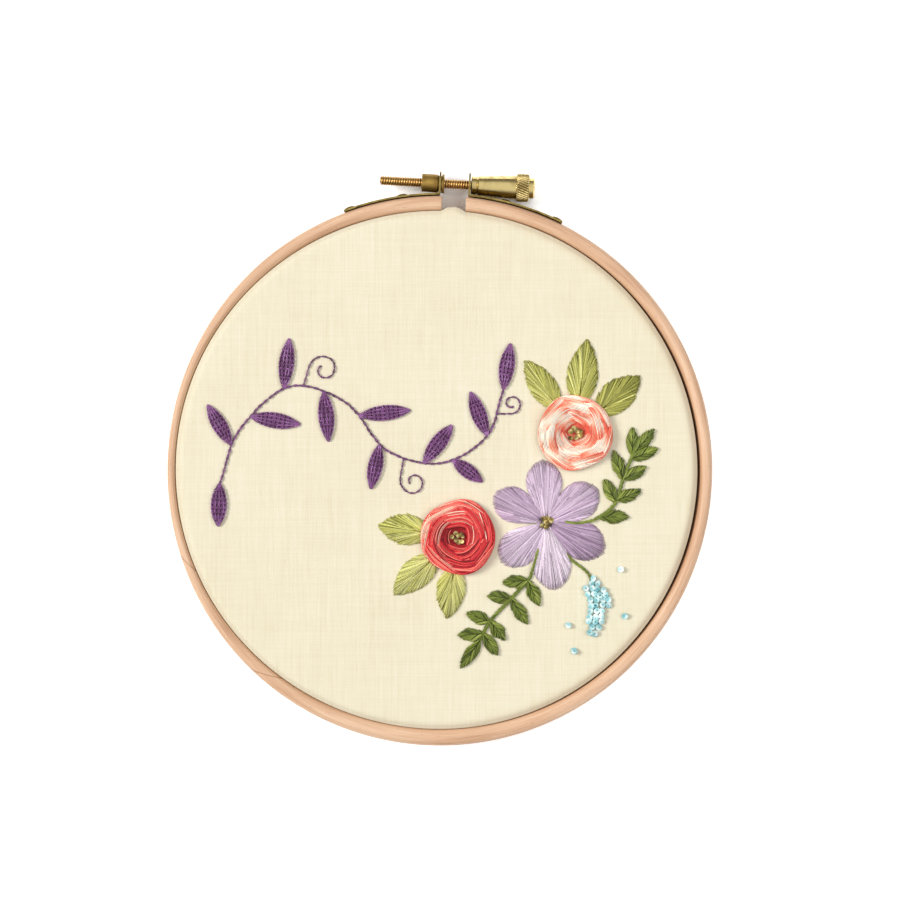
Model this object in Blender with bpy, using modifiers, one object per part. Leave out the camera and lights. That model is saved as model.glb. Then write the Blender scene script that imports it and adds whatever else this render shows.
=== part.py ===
"""Hanging embroidery hoop with its embroidered cloth, at real size.

Units are metres and +Z is up. The hoop lies on its back, so the embroidery
faces up, and the closing screw is on the +Y side. Every length below is
written in millimetres times MM.
"""

import math

import bmesh
import bpy
from mathutils import Matrix, Vector

MM = 0.001
NEAR = 0.05 * MM

# Wooden rings
RING_RADIUS = 82.5 * MM
RING_WALL = 4.4 * MM
RING_DEPTH = 10.0 * MM
RING_EDGE = 1.5 * MM
RING_GAP = 7.2 * MM
RING_STEPS = 72
INNER_DEPTH = 9.4 * MM
INNER_EDGE = 1.1 * MM
TOUCH = 0.3 * MM

# Cloth stretched over the inner ring and trapped by the outer one
CLOTH = 1.0 * MM
CLOTH_ROUND = 2.4 * MM
CLOTH_HEM = 1.0 * MM
CLOTH_BULGE = 1.3 * MM
BULGE_REACH = 3.2 * MM
CLOTH_OUTER = RING_RADIUS - RING_WALL - TOUCH
CLOTH_INNER = CLOTH_OUTER - CLOTH
INNER_RADIUS = CLOTH_INNER - TOUCH
CLOTH_UNDER = INNER_DEPTH + TOUCH
CLOTH_TOP = CLOTH_UNDER + CLOTH
STITCH_BASE = CLOTH_TOP + TOUCH

# Brass closing hardware, along X from the middle of the ring's gap
STRAP = 0.5 * MM
STRAP_WIDTH = 8.0 * MM
STRAP_REACH = 33.0 * MM
STRAP_BEND = 0.9 * MM
STRAP_BEND_END = 250
STRAP_STEPS = 8
LUG_FACE = 4.2 * MM
LUG_TOP = RING_RADIUS + 7.4 * MM
LUG_CORNER = 2.6 * MM
HARDWARE_Z = RING_DEPTH / 2
SCREW_Y = RING_RADIUS + 3.85 * MM
ROD_RADIUS = 1.45 * MM
ROD_TIP = -22.6 * MM
ROD_CHAMFER = 0.35 * MM
COLLAR_RADIUS = 2.7 * MM
BARREL_START = 6.95 * MM
BARREL_RADIUS = (2.85 * MM, 3.55 * MM)
KNURL_START = 18.5 * MM
KNURL_END = 22.5 * MM
KNURL_RADIUS = 4.2 * MM
KNURL_DEPTH = 0.35 * MM
KNURL_TEETH = 32
KNURL_TWIST = math.radians(22.5)
BOSS_RADIUS = 3.1 * MM
SCREW_END = 24.1 * MM
SLOT_WIDTH = 1.2 * MM
SLOT_DEPTH = 1.4 * MM
BUSH_RADIUS = 2.7 * MM
BUSH_NECK = 2.3 * MM
BUSH_LIP = 2.9 * MM
BUSH_LIP_LENGTH = 0.7 * MM
BUSH_BORE = 1.8 * MM
BUSH_END = -10.0 * MM
LUG_HOLE_LEFT = BUSH_NECK + TOUCH
LUG_HOLE_RIGHT = 1.9 * MM
ROUND_STEPS = 24

# Rivets that hold the straps to the ring
RIVET_X = (15.5 * MM, 31.0 * MM)
RIVET_HEAD = 1.6 * MM
RIVET_HEIGHT = 0.5 * MM
RIVET_SHANK = 0.8 * MM
RIVET_LENGTH = 2.6 * MM
RIVET_STEPS = 12

# The part's own frame has its origin under the middle of its whole outline
CENTRE_Y = (RING_RADIUS - SCREW_Y - KNURL_RADIUS) / 2

# Raised embroidery, placed from the hoop's centre; the cloth is turned a little in its rings
STITCH_TURN = math.radians(3.0)
ROSE_RADIUS = 11.0 * MM
ROSE_STEPS = 30
ROSES = {
    "coral": (5.5 * MM, -20.1 * MM),
    "peach": (40.5 * MM, 11.1 * MM),
}
ROSE_LEVELS = (  # share of the radius, height in mm
    (1.0, 0.9), (0.95, 2.2), (0.84, 3.0), (0.68, 3.4), (0.52, 3.1), (0.38, 2.4), (0.27, 1.6),
)
ROSE_RIDGE = 0.28 * MM
ROSE_RIDGE_FROM, ROSE_RIDGE_TO = 0.3, 0.9
ROSE_ARMS = 3
ROSE_SWIRL = 18.0
ROSE_EYE = 2.2 * MM
ROSE_EYE_DROP = 1.6 * MM

LIME_LEAVES = (  # rose, direction in degrees, length, width in mm
    ("coral", 172.0, 13.2, 9.4),
    ("coral", 221.5, 14.9, 9.0),
    ("coral", 262.5, 13.7, 8.6),
    ("peach", 124.5, 15.4, 8.0),
    ("peach", 82.5, 17.4, 9.2),
    ("peach", 41.0, 15.0, 9.6),
)
LIME_LEAF_HEIGHT = 1.1 * MM
LIME_LEAF_HIDDEN = 0.2
LEAF_LEVELS = ((1.0, 0.4), (0.84, 0.8), (0.5, 1.0))  # share of the outline, share of the height
SMALL_LEAF_LEVELS = ((1.0, 0.4), (0.65, 1.0))

FLOWER = (31.9 * MM, -15.7 * MM)
FLOWER_EYE = 2.2 * MM
PETALS = (  # direction in degrees, reach, width in mm
    (93.0, 18.4, 10.6),
    (33.0, 18.2, 11.0),
    (-27.0, 19.2, 11.3),
    (-82.5, 20.2, 11.3),
    (-137.5, 17.8, 11.0),
    (152.0, 17.4, 10.4),
)
PETAL_WEDGE = math.radians(27.2)
PETAL_CLEARANCE = 0.21 * MM
PETAL_HEIGHT = 1.1 * MM
PETAL_FORM = {"first": 0.16, "blunt": 0.6, "bulge": 1.6, "steps": 9}

SPRIG_RADIUS = 0.5 * MM
SPRIG_LIFT = 0.04 * MM
LEAFLET_HEIGHT = 0.9 * MM
LEAFLET_WIDTH = 3.9
LEAF_ROOT = 0.9 * MM
SPRIG_PATHS = {  # points that each stem's centre passes through, in mm
    "upper": ((46.6, -14.9), (50.3, -12.5), (53.0, -9.2), (54.9, -3.0), (57.8, 4.4)),
    "lower": ((27.4, -31.1), (26.4, -33.1), (21.5, -38.5), (15.1, -45.3), (12.2, -50.9)),
}
LEAFLETS = {  # place along the stem, turn from its direction in degrees, length in mm
    "upper": ((0.08, -29.0, 9.2), (0.50, -42.0, 8.2), (0.48, 56.0, 7.8), (0.75, -40.0, 8.4),
              (0.75, 37.0, 9.4), (0.96, -47.0, 9.0), (1.0, -18.0, 10.4), (1.0, 22.0, 8.6)),
    "lower": ((0.25, 63.0, 8.8), (0.25, -46.0, 7.8), (0.50, 74.0, 9.4), (0.50, -52.0, 7.6),
              (0.75, 75.0, 7.4), (0.76, -75.0, 7.6), (0.92, 58.0, 8.0), (0.92, -64.0, 7.8),
              (1.0, -8.0, 10.8)),
}

KNOT_RADIUS = 1.15 * MM
KNOT_HEIGHT = 1.5 * MM
KNOT_PITCH = 1.85
KNOT_ROW = 1.65
KNOT_TURN = 0.37
CLUSTER_TOP = (46.1, -32.4)
CLUSTER_ROWS = (  # knots in the row, its shift to the right in mm
    (1, 0.0), (2, 0.6), (4, 0.3), (4, 0.9), (4, 1.9), (4, 1.7),
    (3, 0.9), (3, 0.6), (3, 0.5), (2, 0.7), (2, -0.2),
)
STRAY_KNOTS = ((54.2, -29.8), (55.5, -43.9), (38.5, -46.6), (40.2, -54.2))
KNOT_STEM = ((39.9, -27.3), (42.6, -29.3), (44.6, -31.2))
KNOT_STEM_RADIUS = 0.42 * MM
EYE_KNOTS = 6

# Purple scrolling vine on the left of the cloth
VINE_RADIUS = 0.45 * MM
VINE_STEM = ((-66.0, -4.0), (-60.0, 12.0), (-45.0, 25.0), (-28.0, 20.0),
             (-16.0, 6.0), (0.0, 2.0), (14.0, 10.0), (19.0, 24.0))
VINE_LEAVES = (  # place along the stem, turn in degrees, length, width in mm
    (0.0, -162.0, 13.0, 5.0),
    (0.10, 52.0, 14.0, 4.6),
    (0.18, -58.0, 15.0, 5.0),
    (0.27, 60.0, 15.0, 4.8),
    (0.37, -62.0, 15.0, 5.0),
    (0.47, 58.0, 15.5, 4.8),
    (0.55, -56.0, 13.5, 4.6),
    (0.67, 60.0, 14.5, 5.0),
    (0.75, -58.0, 11.0, 4.4),
    (0.86, 60.0, 14.0, 4.8),
    (1.0, 10.0, 14.0, 4.8),
)
VINE_LEAF_HEIGHT = 0.8 * MM
TENDRILS = (  # place, turn in degrees, length before the curl and curl radius in mm, side
    (0.32, 78.0, 6.5, 4.5, -1),
    (0.62, -80.0, 6.5, 4.0, 1),
    (0.93, -75.0, 4.5, 3.0, 1),
)
TENDRIL_RADIUS = 0.36 * MM
TENDRIL_TURN = math.radians(400.0)
TENDRIL_CLOSING = 0.72
TENDRIL_STEPS = 12


def clear_scene():
    """Remove every object of the file that the script runs in."""
    for old in list(bpy.data.objects):
        bpy.data.objects.remove(old, do_unlink=True)


def make_collection(name):
    """Return a new collection under the scene's own."""
    collection = bpy.data.collections.new(name)
    bpy.context.scene.collection.children.link(collection)
    return collection


clear_scene()
HOOP = make_collection("embroidery_hoop")
CUTTERS = make_collection("cutters")
CENTRE = bpy.data.objects.new("hoop_centre", None)
CENTRE.location = (0, CENTRE_Y, 0)
HOOP.objects.link(CENTRE)
STITCHING = bpy.data.objects.new("stitching", None)
STITCHING.parent = CENTRE
STITCHING.rotation_euler = (0, 0, STITCH_TURN)
HOOP.objects.link(STITCHING)


def finish(name, colour, roughness, metallic=0.0):
    """Return a Principled material of one colour."""
    material = bpy.data.materials.new(name)
    material.use_nodes = True
    shader = material.node_tree.nodes["Principled BSDF"]
    shader.inputs["Base Color"].default_value = (*colour, 1)
    shader.inputs["Roughness"].default_value = roughness
    shader.inputs["Metallic"].default_value = metallic
    return material


BEECH = finish("beech", (0.66, 0.42, 0.26), 0.5)
BRASS = finish("brass", (0.62, 0.46, 0.20), 0.3, 1.0)
COTTON = finish("cotton", (0.91, 0.86, 0.66), 0.9)
CORAL = finish("coral_floss", (0.80, 0.10, 0.09), 0.6)
PEACH = finish("peach_floss", (0.90, 0.42, 0.30), 0.6)
GOLD = finish("gold_floss", (0.62, 0.50, 0.16), 0.6)
LILAC = finish("lilac_floss", (0.60, 0.46, 0.62), 0.6)
LIME = finish("lime_floss", (0.50, 0.53, 0.17), 0.6)
GREEN = finish("green_floss", (0.20, 0.26, 0.05), 0.6)
BLUE = finish("blue_floss", (0.50, 0.76, 0.78), 0.6)
PURPLE = finish("purple_floss", (0.27, 0.12, 0.30), 0.6)


def add(name, mesh, material, collection=HOOP, parent=CENTRE):
    """Link a mesh as a new object of one material, under the hoop's centre."""
    mesh.materials.clear()
    mesh.materials.append(material)
    piece = bpy.data.objects.new(name, mesh)
    piece.parent = parent
    collection.objects.link(piece)
    if collection is CUTTERS:
        piece.hide_render = True
        piece.display_type = "WIRE"
    return piece


def mesh_from(bm, name, smooth=True):
    """Turn a bmesh into mesh data with outward faces and free the bmesh."""
    bmesh.ops.recalc_face_normals(bm, faces=bm.faces)
    mesh = bpy.data.meshes.new(name)
    bm.to_mesh(mesh)
    bm.free()
    if smooth:
        mesh.shade_smooth()
        mesh.set_sharp_from_angle(angle=math.radians(35))
    return mesh


def cut(piece, cutter, operation="DIFFERENCE"):
    """Give a piece a live Boolean with another object."""
    boolean = piece.modifiers.new(cutter.name, "BOOLEAN")
    boolean.operation = operation
    boolean.object = cutter


def box_cutter(name, size, centre, angle=0.0):
    """Return a box in the cutters' collection, turned about Z."""
    bm = bmesh.new()
    bmesh.ops.create_cube(bm, size=1.0)
    bmesh.ops.scale(bm, vec=size, verts=bm.verts)
    box = add(name, mesh_from(bm, name, smooth=False), BRASS, CUTTERS)
    box.location = centre
    box.rotation_euler = (0, 0, angle)
    return box


def round_cutter(name, radius, length, matrix, steps=ROUND_STEPS):
    """Return a cylinder cutter along the local Z axis of a placing matrix."""
    bm = bmesh.new()
    bmesh.ops.create_cone(bm, cap_ends=True, segments=steps, radius1=radius, radius2=radius,
                          depth=length)
    cylinder = add(name, mesh_from(bm, name), BRASS, CUTTERS)
    cylinder.matrix_local = matrix
    return cylinder


def corner(centre, radius, start, end, steps):
    """Return the points of a round corner in the profile plane, angles in degrees."""
    angles = [math.radians(start + (end - start) * i / steps) for i in range(steps + 1)]
    return [(centre[0] + radius * math.cos(a), centre[1] + radius * math.sin(a)) for a in angles]


def turned(name, profile, material, steps, closed=False, collection=HOOP):
    """Turn a profile of (radius, height) points, which runs down its outer side."""
    mesh = bpy.data.meshes.new(name)
    count = len(profile)
    edges = [(i, (i + 1) % count) for i in range(count if closed else count - 1)]
    mesh.from_pydata([(r, 0, z) for r, z in profile], edges, [])
    piece = add(name, mesh, material, collection)
    screw = piece.modifiers.new("turn", "SCREW")
    screw.steps = steps
    screw.render_steps = steps
    screw.use_merge_vertices = True
    screw.merge_threshold = 0.00001
    screw.use_smooth_shade = True
    return piece


def ring_profile(inner, outer, low, high, top_edge, low_edge, steps):
    """Return a ring's closed section with rounded corners, outer side first."""
    return (
        corner((outer - top_edge, high - top_edge), top_edge, 90, 0, steps)
        + corner((outer - low_edge, low + low_edge), low_edge, 0, -90, steps)
        + corner((inner + low_edge, low + low_edge), low_edge, -90, -180, steps)
        + corner((inner + top_edge, high - top_edge), top_edge, 180, 90, steps)
    )


def mound(name, outline, base, levels, material, collection=HOOP, centre=(0, 0)):
    """Raise an outline into a low crown by extruding and shrinking it step by step.

    Each level is a share of the outline's size and a height above the base.
    """
    bm = bmesh.new()
    top = bm.faces.new([bm.verts.new((x, y, base)) for x, y in outline])
    pivot = Matrix.Translation((-centre[0], -centre[1], 0))
    share, height = 1.0, 0.0
    for next_share, next_height in levels:
        inner = [top] if height > 0 else []
        raised = bmesh.ops.extrude_face_region(bm, geom=[top])["geom"]
        top = next(g for g in raised if isinstance(g, bmesh.types.BMFace))
        bmesh.ops.delete(bm, geom=inner, context="FACES_ONLY")
        grow = next_share / share
        bmesh.ops.scale(bm, vec=(grow, grow, 1), space=pivot, verts=top.verts)
        bmesh.ops.translate(bm, vec=(0, 0, next_height - height), verts=top.verts)
        share, height = next_share, next_height
    return add(name, mesh_from(bm, name), material, collection, STITCHING)


def smooth_path(points, spans):
    """Return points on a smooth curve through the given ones, in metres."""
    nodes = [Vector(p) * MM for p in points]
    nodes = [2 * nodes[0] - nodes[1]] + nodes + [2 * nodes[-1] - nodes[-2]]
    path = []
    for a, b, c, d in zip(nodes, nodes[1:], nodes[2:], nodes[3:]):
        for i in range(spans):
            t = i / spans
            path.append(0.5 * (2 * b + (c - a) * t + (2 * a - 5 * b + 4 * c - d) * t * t
                               + (3 * b - a - 3 * c + d) * t ** 3))
    return path + [nodes[-2]]


def along(path, share):
    """Return the place and the heading at a share of a path's points."""
    spot = share * (len(path) - 1)
    index = min(int(spot), len(path) - 2)
    step = path[index + 1] - path[index]
    return path[index] + step * (spot - index), math.atan2(step.y, step.x)


def tube(name, path, radius, height, material, collection=HOOP):
    """Lay a round strand along a flat path and return it as a closed mesh object."""
    curve = bpy.data.curves.new(name, "CURVE")
    curve.dimensions = "3D"
    curve.bevel_depth = radius
    curve.bevel_resolution = 1
    curve.use_fill_caps = True
    spline = curve.splines.new("POLY")
    spline.points.add(len(path) - 1)
    for point, place in zip(spline.points, path):
        point.co = (place.x, place.y, height, 1)
    strand = add(name + "_curve", curve, material, collection, STITCHING)
    bpy.context.view_layer.update()
    evaluated = strand.evaluated_get(bpy.context.evaluated_depsgraph_get())
    bm = bmesh.new()
    bm.from_mesh(bpy.data.meshes.new_from_object(evaluated))
    bpy.data.objects.remove(strand, do_unlink=True)
    bmesh.ops.remove_doubles(bm, verts=bm.verts, dist=0.00001)
    return add(name, mesh_from(bm, name), material, collection, STITCHING)


def leaf_outline(start, heading, length, width, first=0.0, blunt=0.85, steps=7, bulge=1.0):
    """Return a leaf's outline from its base point, as points that run round it once.

    Args:
        first: share of the leaf that lies hidden before its base.
        blunt: power that rounds the sides.
        bulge: power that moves the widest place along the leaf.
    """
    shares = [first + (1 - first) * i / steps for i in range(steps + 1)]
    halves = [width / 2 * math.sin(math.pi * s ** bulge) ** blunt if 0 < s < 1 else 0 for s in shares]
    reach = [length * (s - first) / (1 - first) for s in shares]
    sides = list(zip(reach, halves))
    left = [(x, w) for x, w in reversed(sides) if w > 0 or x == 0]
    right = [(x, -w) for x, w in sides if w > 0]
    turn, base = Matrix.Rotation(heading, 2), Vector(start)
    return [base + turn @ Vector(p) for p in right + [(length, 0)] + left]


def rooted_leaf(path, share, turn, length, width, steps):
    """Return the outline of a leaf whose base is buried in a stem, sizes in mm."""
    place, heading = along(path, share)
    heading += math.radians(turn)
    root = Vector((math.cos(heading), math.sin(heading))) * LEAF_ROOT
    return leaf_outline(place - root, heading, length * MM + LEAF_ROOT, width * MM, steps=steps)


def middle(outline):
    """Return the mean of an outline's points."""
    return sum(outline, Vector((0, 0))) / len(outline)


def leaf(name, outline, height, material, collection=HOOP, base=STITCH_BASE):
    """Make one padded leaf or petal from its outline."""
    shape = SMALL_LEAF_LEVELS if collection is CUTTERS else LEAF_LEVELS
    levels = [(share, height * rise) for share, rise in shape]
    return mound(name, outline, base, levels, material, collection, middle(outline))


def wooden_rings():
    """The split outer ring and the inner ring that the cloth is stretched over."""
    outer = turned("outer_ring", ring_profile(RING_RADIUS - RING_WALL, RING_RADIUS, 0, RING_DEPTH,
                                              RING_EDGE, RING_EDGE, 2), BEECH, RING_STEPS, closed=True)
    gap = box_cutter("gap_cut", (RING_GAP, 4 * RING_WALL, 3 * RING_DEPTH),
                     (0, RING_RADIUS - RING_WALL / 2, RING_DEPTH / 2))
    cut(outer, gap)
    turned("inner_ring", ring_profile(INNER_RADIUS - RING_WALL, INNER_RADIUS, 0, INNER_DEPTH,
                                      INNER_EDGE, INNER_EDGE, 1), BEECH, RING_STEPS, closed=True)
    return outer


def stretched_cloth():
    """The cloth: a flat disc whose rounded rim turns down between the two rings."""
    inner_round = CLOTH_ROUND - CLOTH
    profile = [(0, CLOTH_TOP)]
    profile += corner((CLOTH_OUTER - CLOTH_ROUND, CLOTH_TOP - CLOTH_ROUND), CLOTH_ROUND, 90, 0, 3)
    profile += [(CLOTH_OUTER, CLOTH_HEM), (CLOTH_INNER, CLOTH_HEM)]
    profile += corner((CLOTH_INNER - inner_round, CLOTH_UNDER - inner_round), inner_round, 0, 90, 2)
    profile += [(0, CLOTH_UNDER)]
    bm = bmesh.new()
    verts = [bm.verts.new((0, r, z)) for r, z in profile]
    edges = [bm.edges.new(pair) for pair in zip(verts, verts[1:])]
    bmesh.ops.spin(bm, geom=verts + edges, cent=(0, 0, 0), axis=(0, 0, 1), angle=math.tau,
                   steps=RING_STEPS, use_merge=True)
    bmesh.ops.remove_doubles(bm, verts=bm.verts, dist=0.00001)
    cuts = 4
    for i in range(-cuts, cuts + 1):
        near = [f for f in bm.faces if f.calc_center_median().y > INNER_RADIUS - RING_WALL
                and abs(f.calc_center_median().x) < 2 * BULGE_REACH]
        zone = set(near) | {e for f in near for e in f.edges} | {v for f in near for v in f.verts}
        bmesh.ops.bisect_plane(bm, geom=list(zone), plane_co=(BULGE_REACH * i / cuts, 0, 0),
                               plane_no=(1, 0, 0), dist=0.000001)
    for vert in bm.verts:
        if vert.co.y > INNER_RADIUS - CLOTH_ROUND and abs(vert.co.x) < BULGE_REACH:
            vert.co.y += CLOTH_BULGE * math.cos(math.pi / 2 * vert.co.x / BULGE_REACH) ** 2
    add("cloth", mesh_from(bm, "cloth"), COTTON)


def strap(name, side, outer_ring):
    """One brass strap, bent up into a lug beside the gap; side is -1 or +1."""
    low, high = RING_RADIUS + TOUCH, RING_RADIUS + TOUCH + STRAP
    root = math.asin((LUG_FACE + STRAP_BEND) / high)
    tip = math.asin(STRAP_REACH / high)
    angles = [root + (tip - root) * i / STRAP_STEPS for i in range(STRAP_STEPS + 1)]
    bend_top = low * math.cos(root)
    outline = [(low * math.sin(a), low * math.cos(a)) for a in angles]
    outline += [(high * math.sin(a), high * math.cos(a)) for a in reversed(angles[1:])]
    outline += [(LUG_FACE + STRAP + STRAP / 2, high), (LUG_FACE + STRAP, high + STRAP / 2)]
    outline += [(LUG_FACE + STRAP, LUG_TOP), (LUG_FACE, LUG_TOP)]
    outline += corner((LUG_FACE + STRAP_BEND, bend_top + STRAP_BEND), STRAP_BEND, 180, STRAP_BEND_END, 3)
    bm = bmesh.new()
    face = bm.faces.new([bm.verts.new((side * x, y, 0)) for x, y in outline])
    raised = bmesh.ops.extrude_face_region(bm, geom=[face])["geom"]
    top = [g for g in raised if isinstance(g, bmesh.types.BMVert)]
    bmesh.ops.translate(bm, vec=(0, 0, STRAP_WIDTH), verts=top)
    corners = [e for e in bm.edges if all(abs(v.co.y - LUG_TOP) < NEAR for v in e.verts)
               and abs(e.verts[0].co.z - e.verts[1].co.z) < NEAR]
    bmesh.ops.bevel(bm, geom=corners, offset=LUG_CORNER, segments=3, profile=0.5, affect="EDGES")
    piece = add(name, mesh_from(bm, name), BRASS)
    piece.location = (0, 0, HARDWARE_Z - STRAP_WIDTH / 2)
    hole = LUG_HOLE_LEFT if side < 0 else LUG_HOLE_RIGHT
    across = Matrix.Rotation(math.pi / 2, 4, "Y")
    place = Matrix.Translation((side * LUG_FACE, SCREW_Y, HARDWARE_Z)) @ across
    cut(piece, round_cutter(name + "_screw_hole", hole, 8 * STRAP, place))
    for number, reach in enumerate(RIVET_X, 1):
        rivet(f"rivet_{'left' if side < 0 else 'right'}_{number}", side * reach, piece, outer_ring)


def rivet(name, x, strap_piece, outer_ring):
    """One round-headed rivet through the strap into the ring, and the holes it sits in."""
    angle = -math.asin(x / RING_RADIUS)
    outward = Matrix.Rotation(angle, 4, "Z") @ Matrix.Rotation(-math.pi / 2, 4, "X")
    spoke = Matrix.Rotation(angle, 4, "Z") @ Vector((0, 1, 0))
    seat = RING_RADIUS + TOUCH + STRAP + TOUCH
    dome = [(RIVET_HEAD * math.sin(a), RIVET_HEIGHT * math.cos(a))
            for a in (0, math.pi / 6, math.pi / 3)]
    profile = dome + [(RIVET_HEAD, 0), (RIVET_SHANK, 0), (RIVET_SHANK, -RIVET_LENGTH),
                      (0, -RIVET_LENGTH)]
    piece = turned(name, profile, BRASS, RIVET_STEPS)
    piece.matrix_local = Matrix.Translation(spoke * seat + Vector((0, 0, HARDWARE_Z))) @ outward
    hole_middle = spoke * (seat - RIVET_LENGTH / 2) + Vector((0, 0, HARDWARE_Z))
    hole = round_cutter(name + "_hole", RIVET_SHANK + TOUCH, RIVET_LENGTH + 2 * TOUCH,
                        Matrix.Translation(hole_middle) @ outward, RIVET_STEPS)
    cut(strap_piece, hole)
    cut(outer_ring, hole)


def lying_along_x(piece, x=0.0):
    """Lay a turned piece along the screw's axis, with its height running to +X."""
    piece.location = (x, SCREW_Y, HARDWARE_Z)
    piece.rotation_euler = (0, math.pi / 2, 0)


def threaded_bush():
    """The brass bush riveted in the left lug, which the screw winds into."""
    plate, gap_side = -LUG_FACE - STRAP, -LUG_FACE + TOUCH
    profile = [
        (BUSH_LIP, gap_side + BUSH_LIP_LENGTH), (BUSH_LIP, gap_side), (BUSH_NECK, gap_side),
        (BUSH_NECK, plate - TOUCH), (BUSH_RADIUS, plate - TOUCH), (BUSH_RADIUS, BUSH_END),
        (BUSH_BORE, BUSH_END), (BUSH_BORE, gap_side + BUSH_LIP_LENGTH),
    ]
    lying_along_x(turned("threaded_bush", profile, BRASS, ROUND_STEPS, closed=True))


def thumb_screw():
    """The closing screw: rod, collar, tapered barrel, knurled grip and slotted end."""
    collar = LUG_FACE + STRAP + TOUCH
    edge = ROD_CHAMFER
    profile = [
        (0, SCREW_END), (BOSS_RADIUS - edge, SCREW_END), (BOSS_RADIUS, SCREW_END - edge),
        (BOSS_RADIUS, KNURL_START), (BARREL_RADIUS[1], KNURL_START),
        (BARREL_RADIUS[0], BARREL_START), (COLLAR_RADIUS, BARREL_START), (COLLAR_RADIUS, collar),
        (ROD_RADIUS, collar), (ROD_RADIUS, ROD_TIP + edge), (ROD_RADIUS - edge, ROD_TIP), (0, ROD_TIP),
    ]
    screw = turned("thumb_screw", profile, BRASS, ROUND_STEPS)
    lying_along_x(screw)
    bm = bmesh.new()
    band = bmesh.ops.create_circle(bm, cap_ends=True, segments=2 * KNURL_TEETH, radius=KNURL_RADIUS)
    for number, vert in enumerate(band["verts"]):
        if number % 2:
            vert.co *= (KNURL_RADIUS - KNURL_DEPTH) / KNURL_RADIUS
    raised = bmesh.ops.extrude_face_region(bm, geom=list(bm.faces))["geom"]
    top = [g for g in raised if isinstance(g, bmesh.types.BMVert)]
    bmesh.ops.rotate(bm, matrix=Matrix.Rotation(KNURL_TWIST, 3, "Z"), verts=top)
    bmesh.ops.translate(bm, vec=(0, 0, KNURL_END - KNURL_START), verts=top)
    grip = add("grip_band", mesh_from(bm, "grip_band", smooth=False), BRASS, CUTTERS)
    lying_along_x(grip, KNURL_START)
    cut(screw, grip, "UNION")
    slot = box_cutter("slot_cut", (2 * SLOT_DEPTH, 4 * BOSS_RADIUS, SLOT_WIDTH),
                      (SCREW_END, SCREW_Y, HARDWARE_Z))
    cut(screw, slot)


def knot(name, x, y, material, collection=HOOP, base=STITCH_BASE, turn=0.0):
    """One French knot, a flattened ball of wound thread."""
    bm = bmesh.new()
    bmesh.ops.create_uvsphere(bm, u_segments=6, v_segments=4, radius=KNOT_RADIUS)
    bmesh.ops.scale(bm, vec=(1, 1, KNOT_HEIGHT / (2 * KNOT_RADIUS)), verts=bm.verts)
    bmesh.ops.rotate(bm, matrix=Matrix.Rotation(turn, 3, "Z"), verts=bm.verts)
    bmesh.ops.translate(bm, vec=(x, y, base + KNOT_HEIGHT / 2), verts=bm.verts)
    return add(name, mesh_from(bm, name), material, collection, STITCHING)


def knot_group(name, places, material, base=STITCH_BASE):
    """Touching French knots, joined into one solid; the first place is its core."""
    core = knot(name, *places[0], material, base=base)
    for number, (x, y) in enumerate(places[1:], 1):
        ball = knot(f"{name}_{number}", x, y, material, CUTTERS, base, turn=number * KNOT_TURN)
        cut(core, ball, "UNION")


def eye(name, centre, reach, base):
    """The knots in the middle of a flower: one with a ring of others round it."""
    spread = reach - KNOT_RADIUS
    places = [centre]
    for angle in [math.tau * i / EYE_KNOTS for i in range(EYE_KNOTS)]:
        places.append((centre[0] + spread * math.cos(angle), centre[1] + spread * math.sin(angle)))
    knot_group(name, places, GOLD, base)


def woven_rose(name, centre, material):
    """A wound rose: a domed disc with spiral ridges and a hollow that holds its eye."""
    circle = [(centre[0] + ROSE_RADIUS * math.cos(math.tau * i / ROSE_STEPS),
               centre[1] + ROSE_RADIUS * math.sin(math.tau * i / ROSE_STEPS)) for i in range(ROSE_STEPS)]
    levels = [(share, height * MM) for share, height in ROSE_LEVELS]
    rose = mound("rose_" + name, circle, STITCH_BASE, levels, material, centre=centre)
    for vert in rose.data.vertices:
        offset = Vector((vert.co.x - centre[0], vert.co.y - centre[1]))
        share = offset.length / ROSE_RADIUS
        if ROSE_RIDGE_FROM < share < ROSE_RIDGE_TO:
            turn = ROSE_ARMS * math.atan2(offset.y, offset.x) + ROSE_SWIRL * share
            vert.co.z += ROSE_RIDGE * math.sin(turn)
    eye(f"rose_{name}_eye", centre, ROSE_EYE, STITCH_BASE + ROSE_EYE_DROP + TOUCH)


def lime_leaves():
    """Broad leaves set round the two roses, cut off where the rose covers them."""
    for number, (rose, direction, length, width) in enumerate(LIME_LEAVES, 1):
        heading = math.radians(direction)
        spoke = Vector((math.cos(heading), math.sin(heading)))
        base = Vector(ROSES[rose]) + spoke * (ROSE_RADIUS + TOUCH)
        outline = leaf_outline(base, heading, length * MM, width * MM, first=LIME_LEAF_HIDDEN)
        leaf(f"leaf_{rose}_{number}", outline, LIME_LEAF_HEIGHT, LIME)


def petal_flower():
    """Six padded petals round an eye of knots."""
    start = FLOWER_EYE + TOUCH
    for number, (direction, reach, width) in enumerate(PETALS, 1):
        heading = math.radians(direction)
        spoke = Vector((math.cos(heading), math.sin(heading)))
        outline = leaf_outline(Vector(FLOWER) + spoke * start, heading, reach * MM - start,
                               width * MM, **PETAL_FORM)
        narrowed = []
        for point in outline:
            offset = point - Vector(FLOWER)
            ahead, aside = offset.dot(spoke), spoke.cross(offset)
            limit = ahead * math.tan(PETAL_WEDGE) - PETAL_CLEARANCE
            aside = max(-limit, min(limit, aside))
            narrowed.append(Vector(FLOWER) + spoke * ahead + Vector((-spoke.y, spoke.x)) * aside)
        leaf(f"petal_{number}", narrowed, PETAL_HEIGHT, LILAC)
    eye("flower_eye", FLOWER, FLOWER_EYE, STITCH_BASE)


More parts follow.
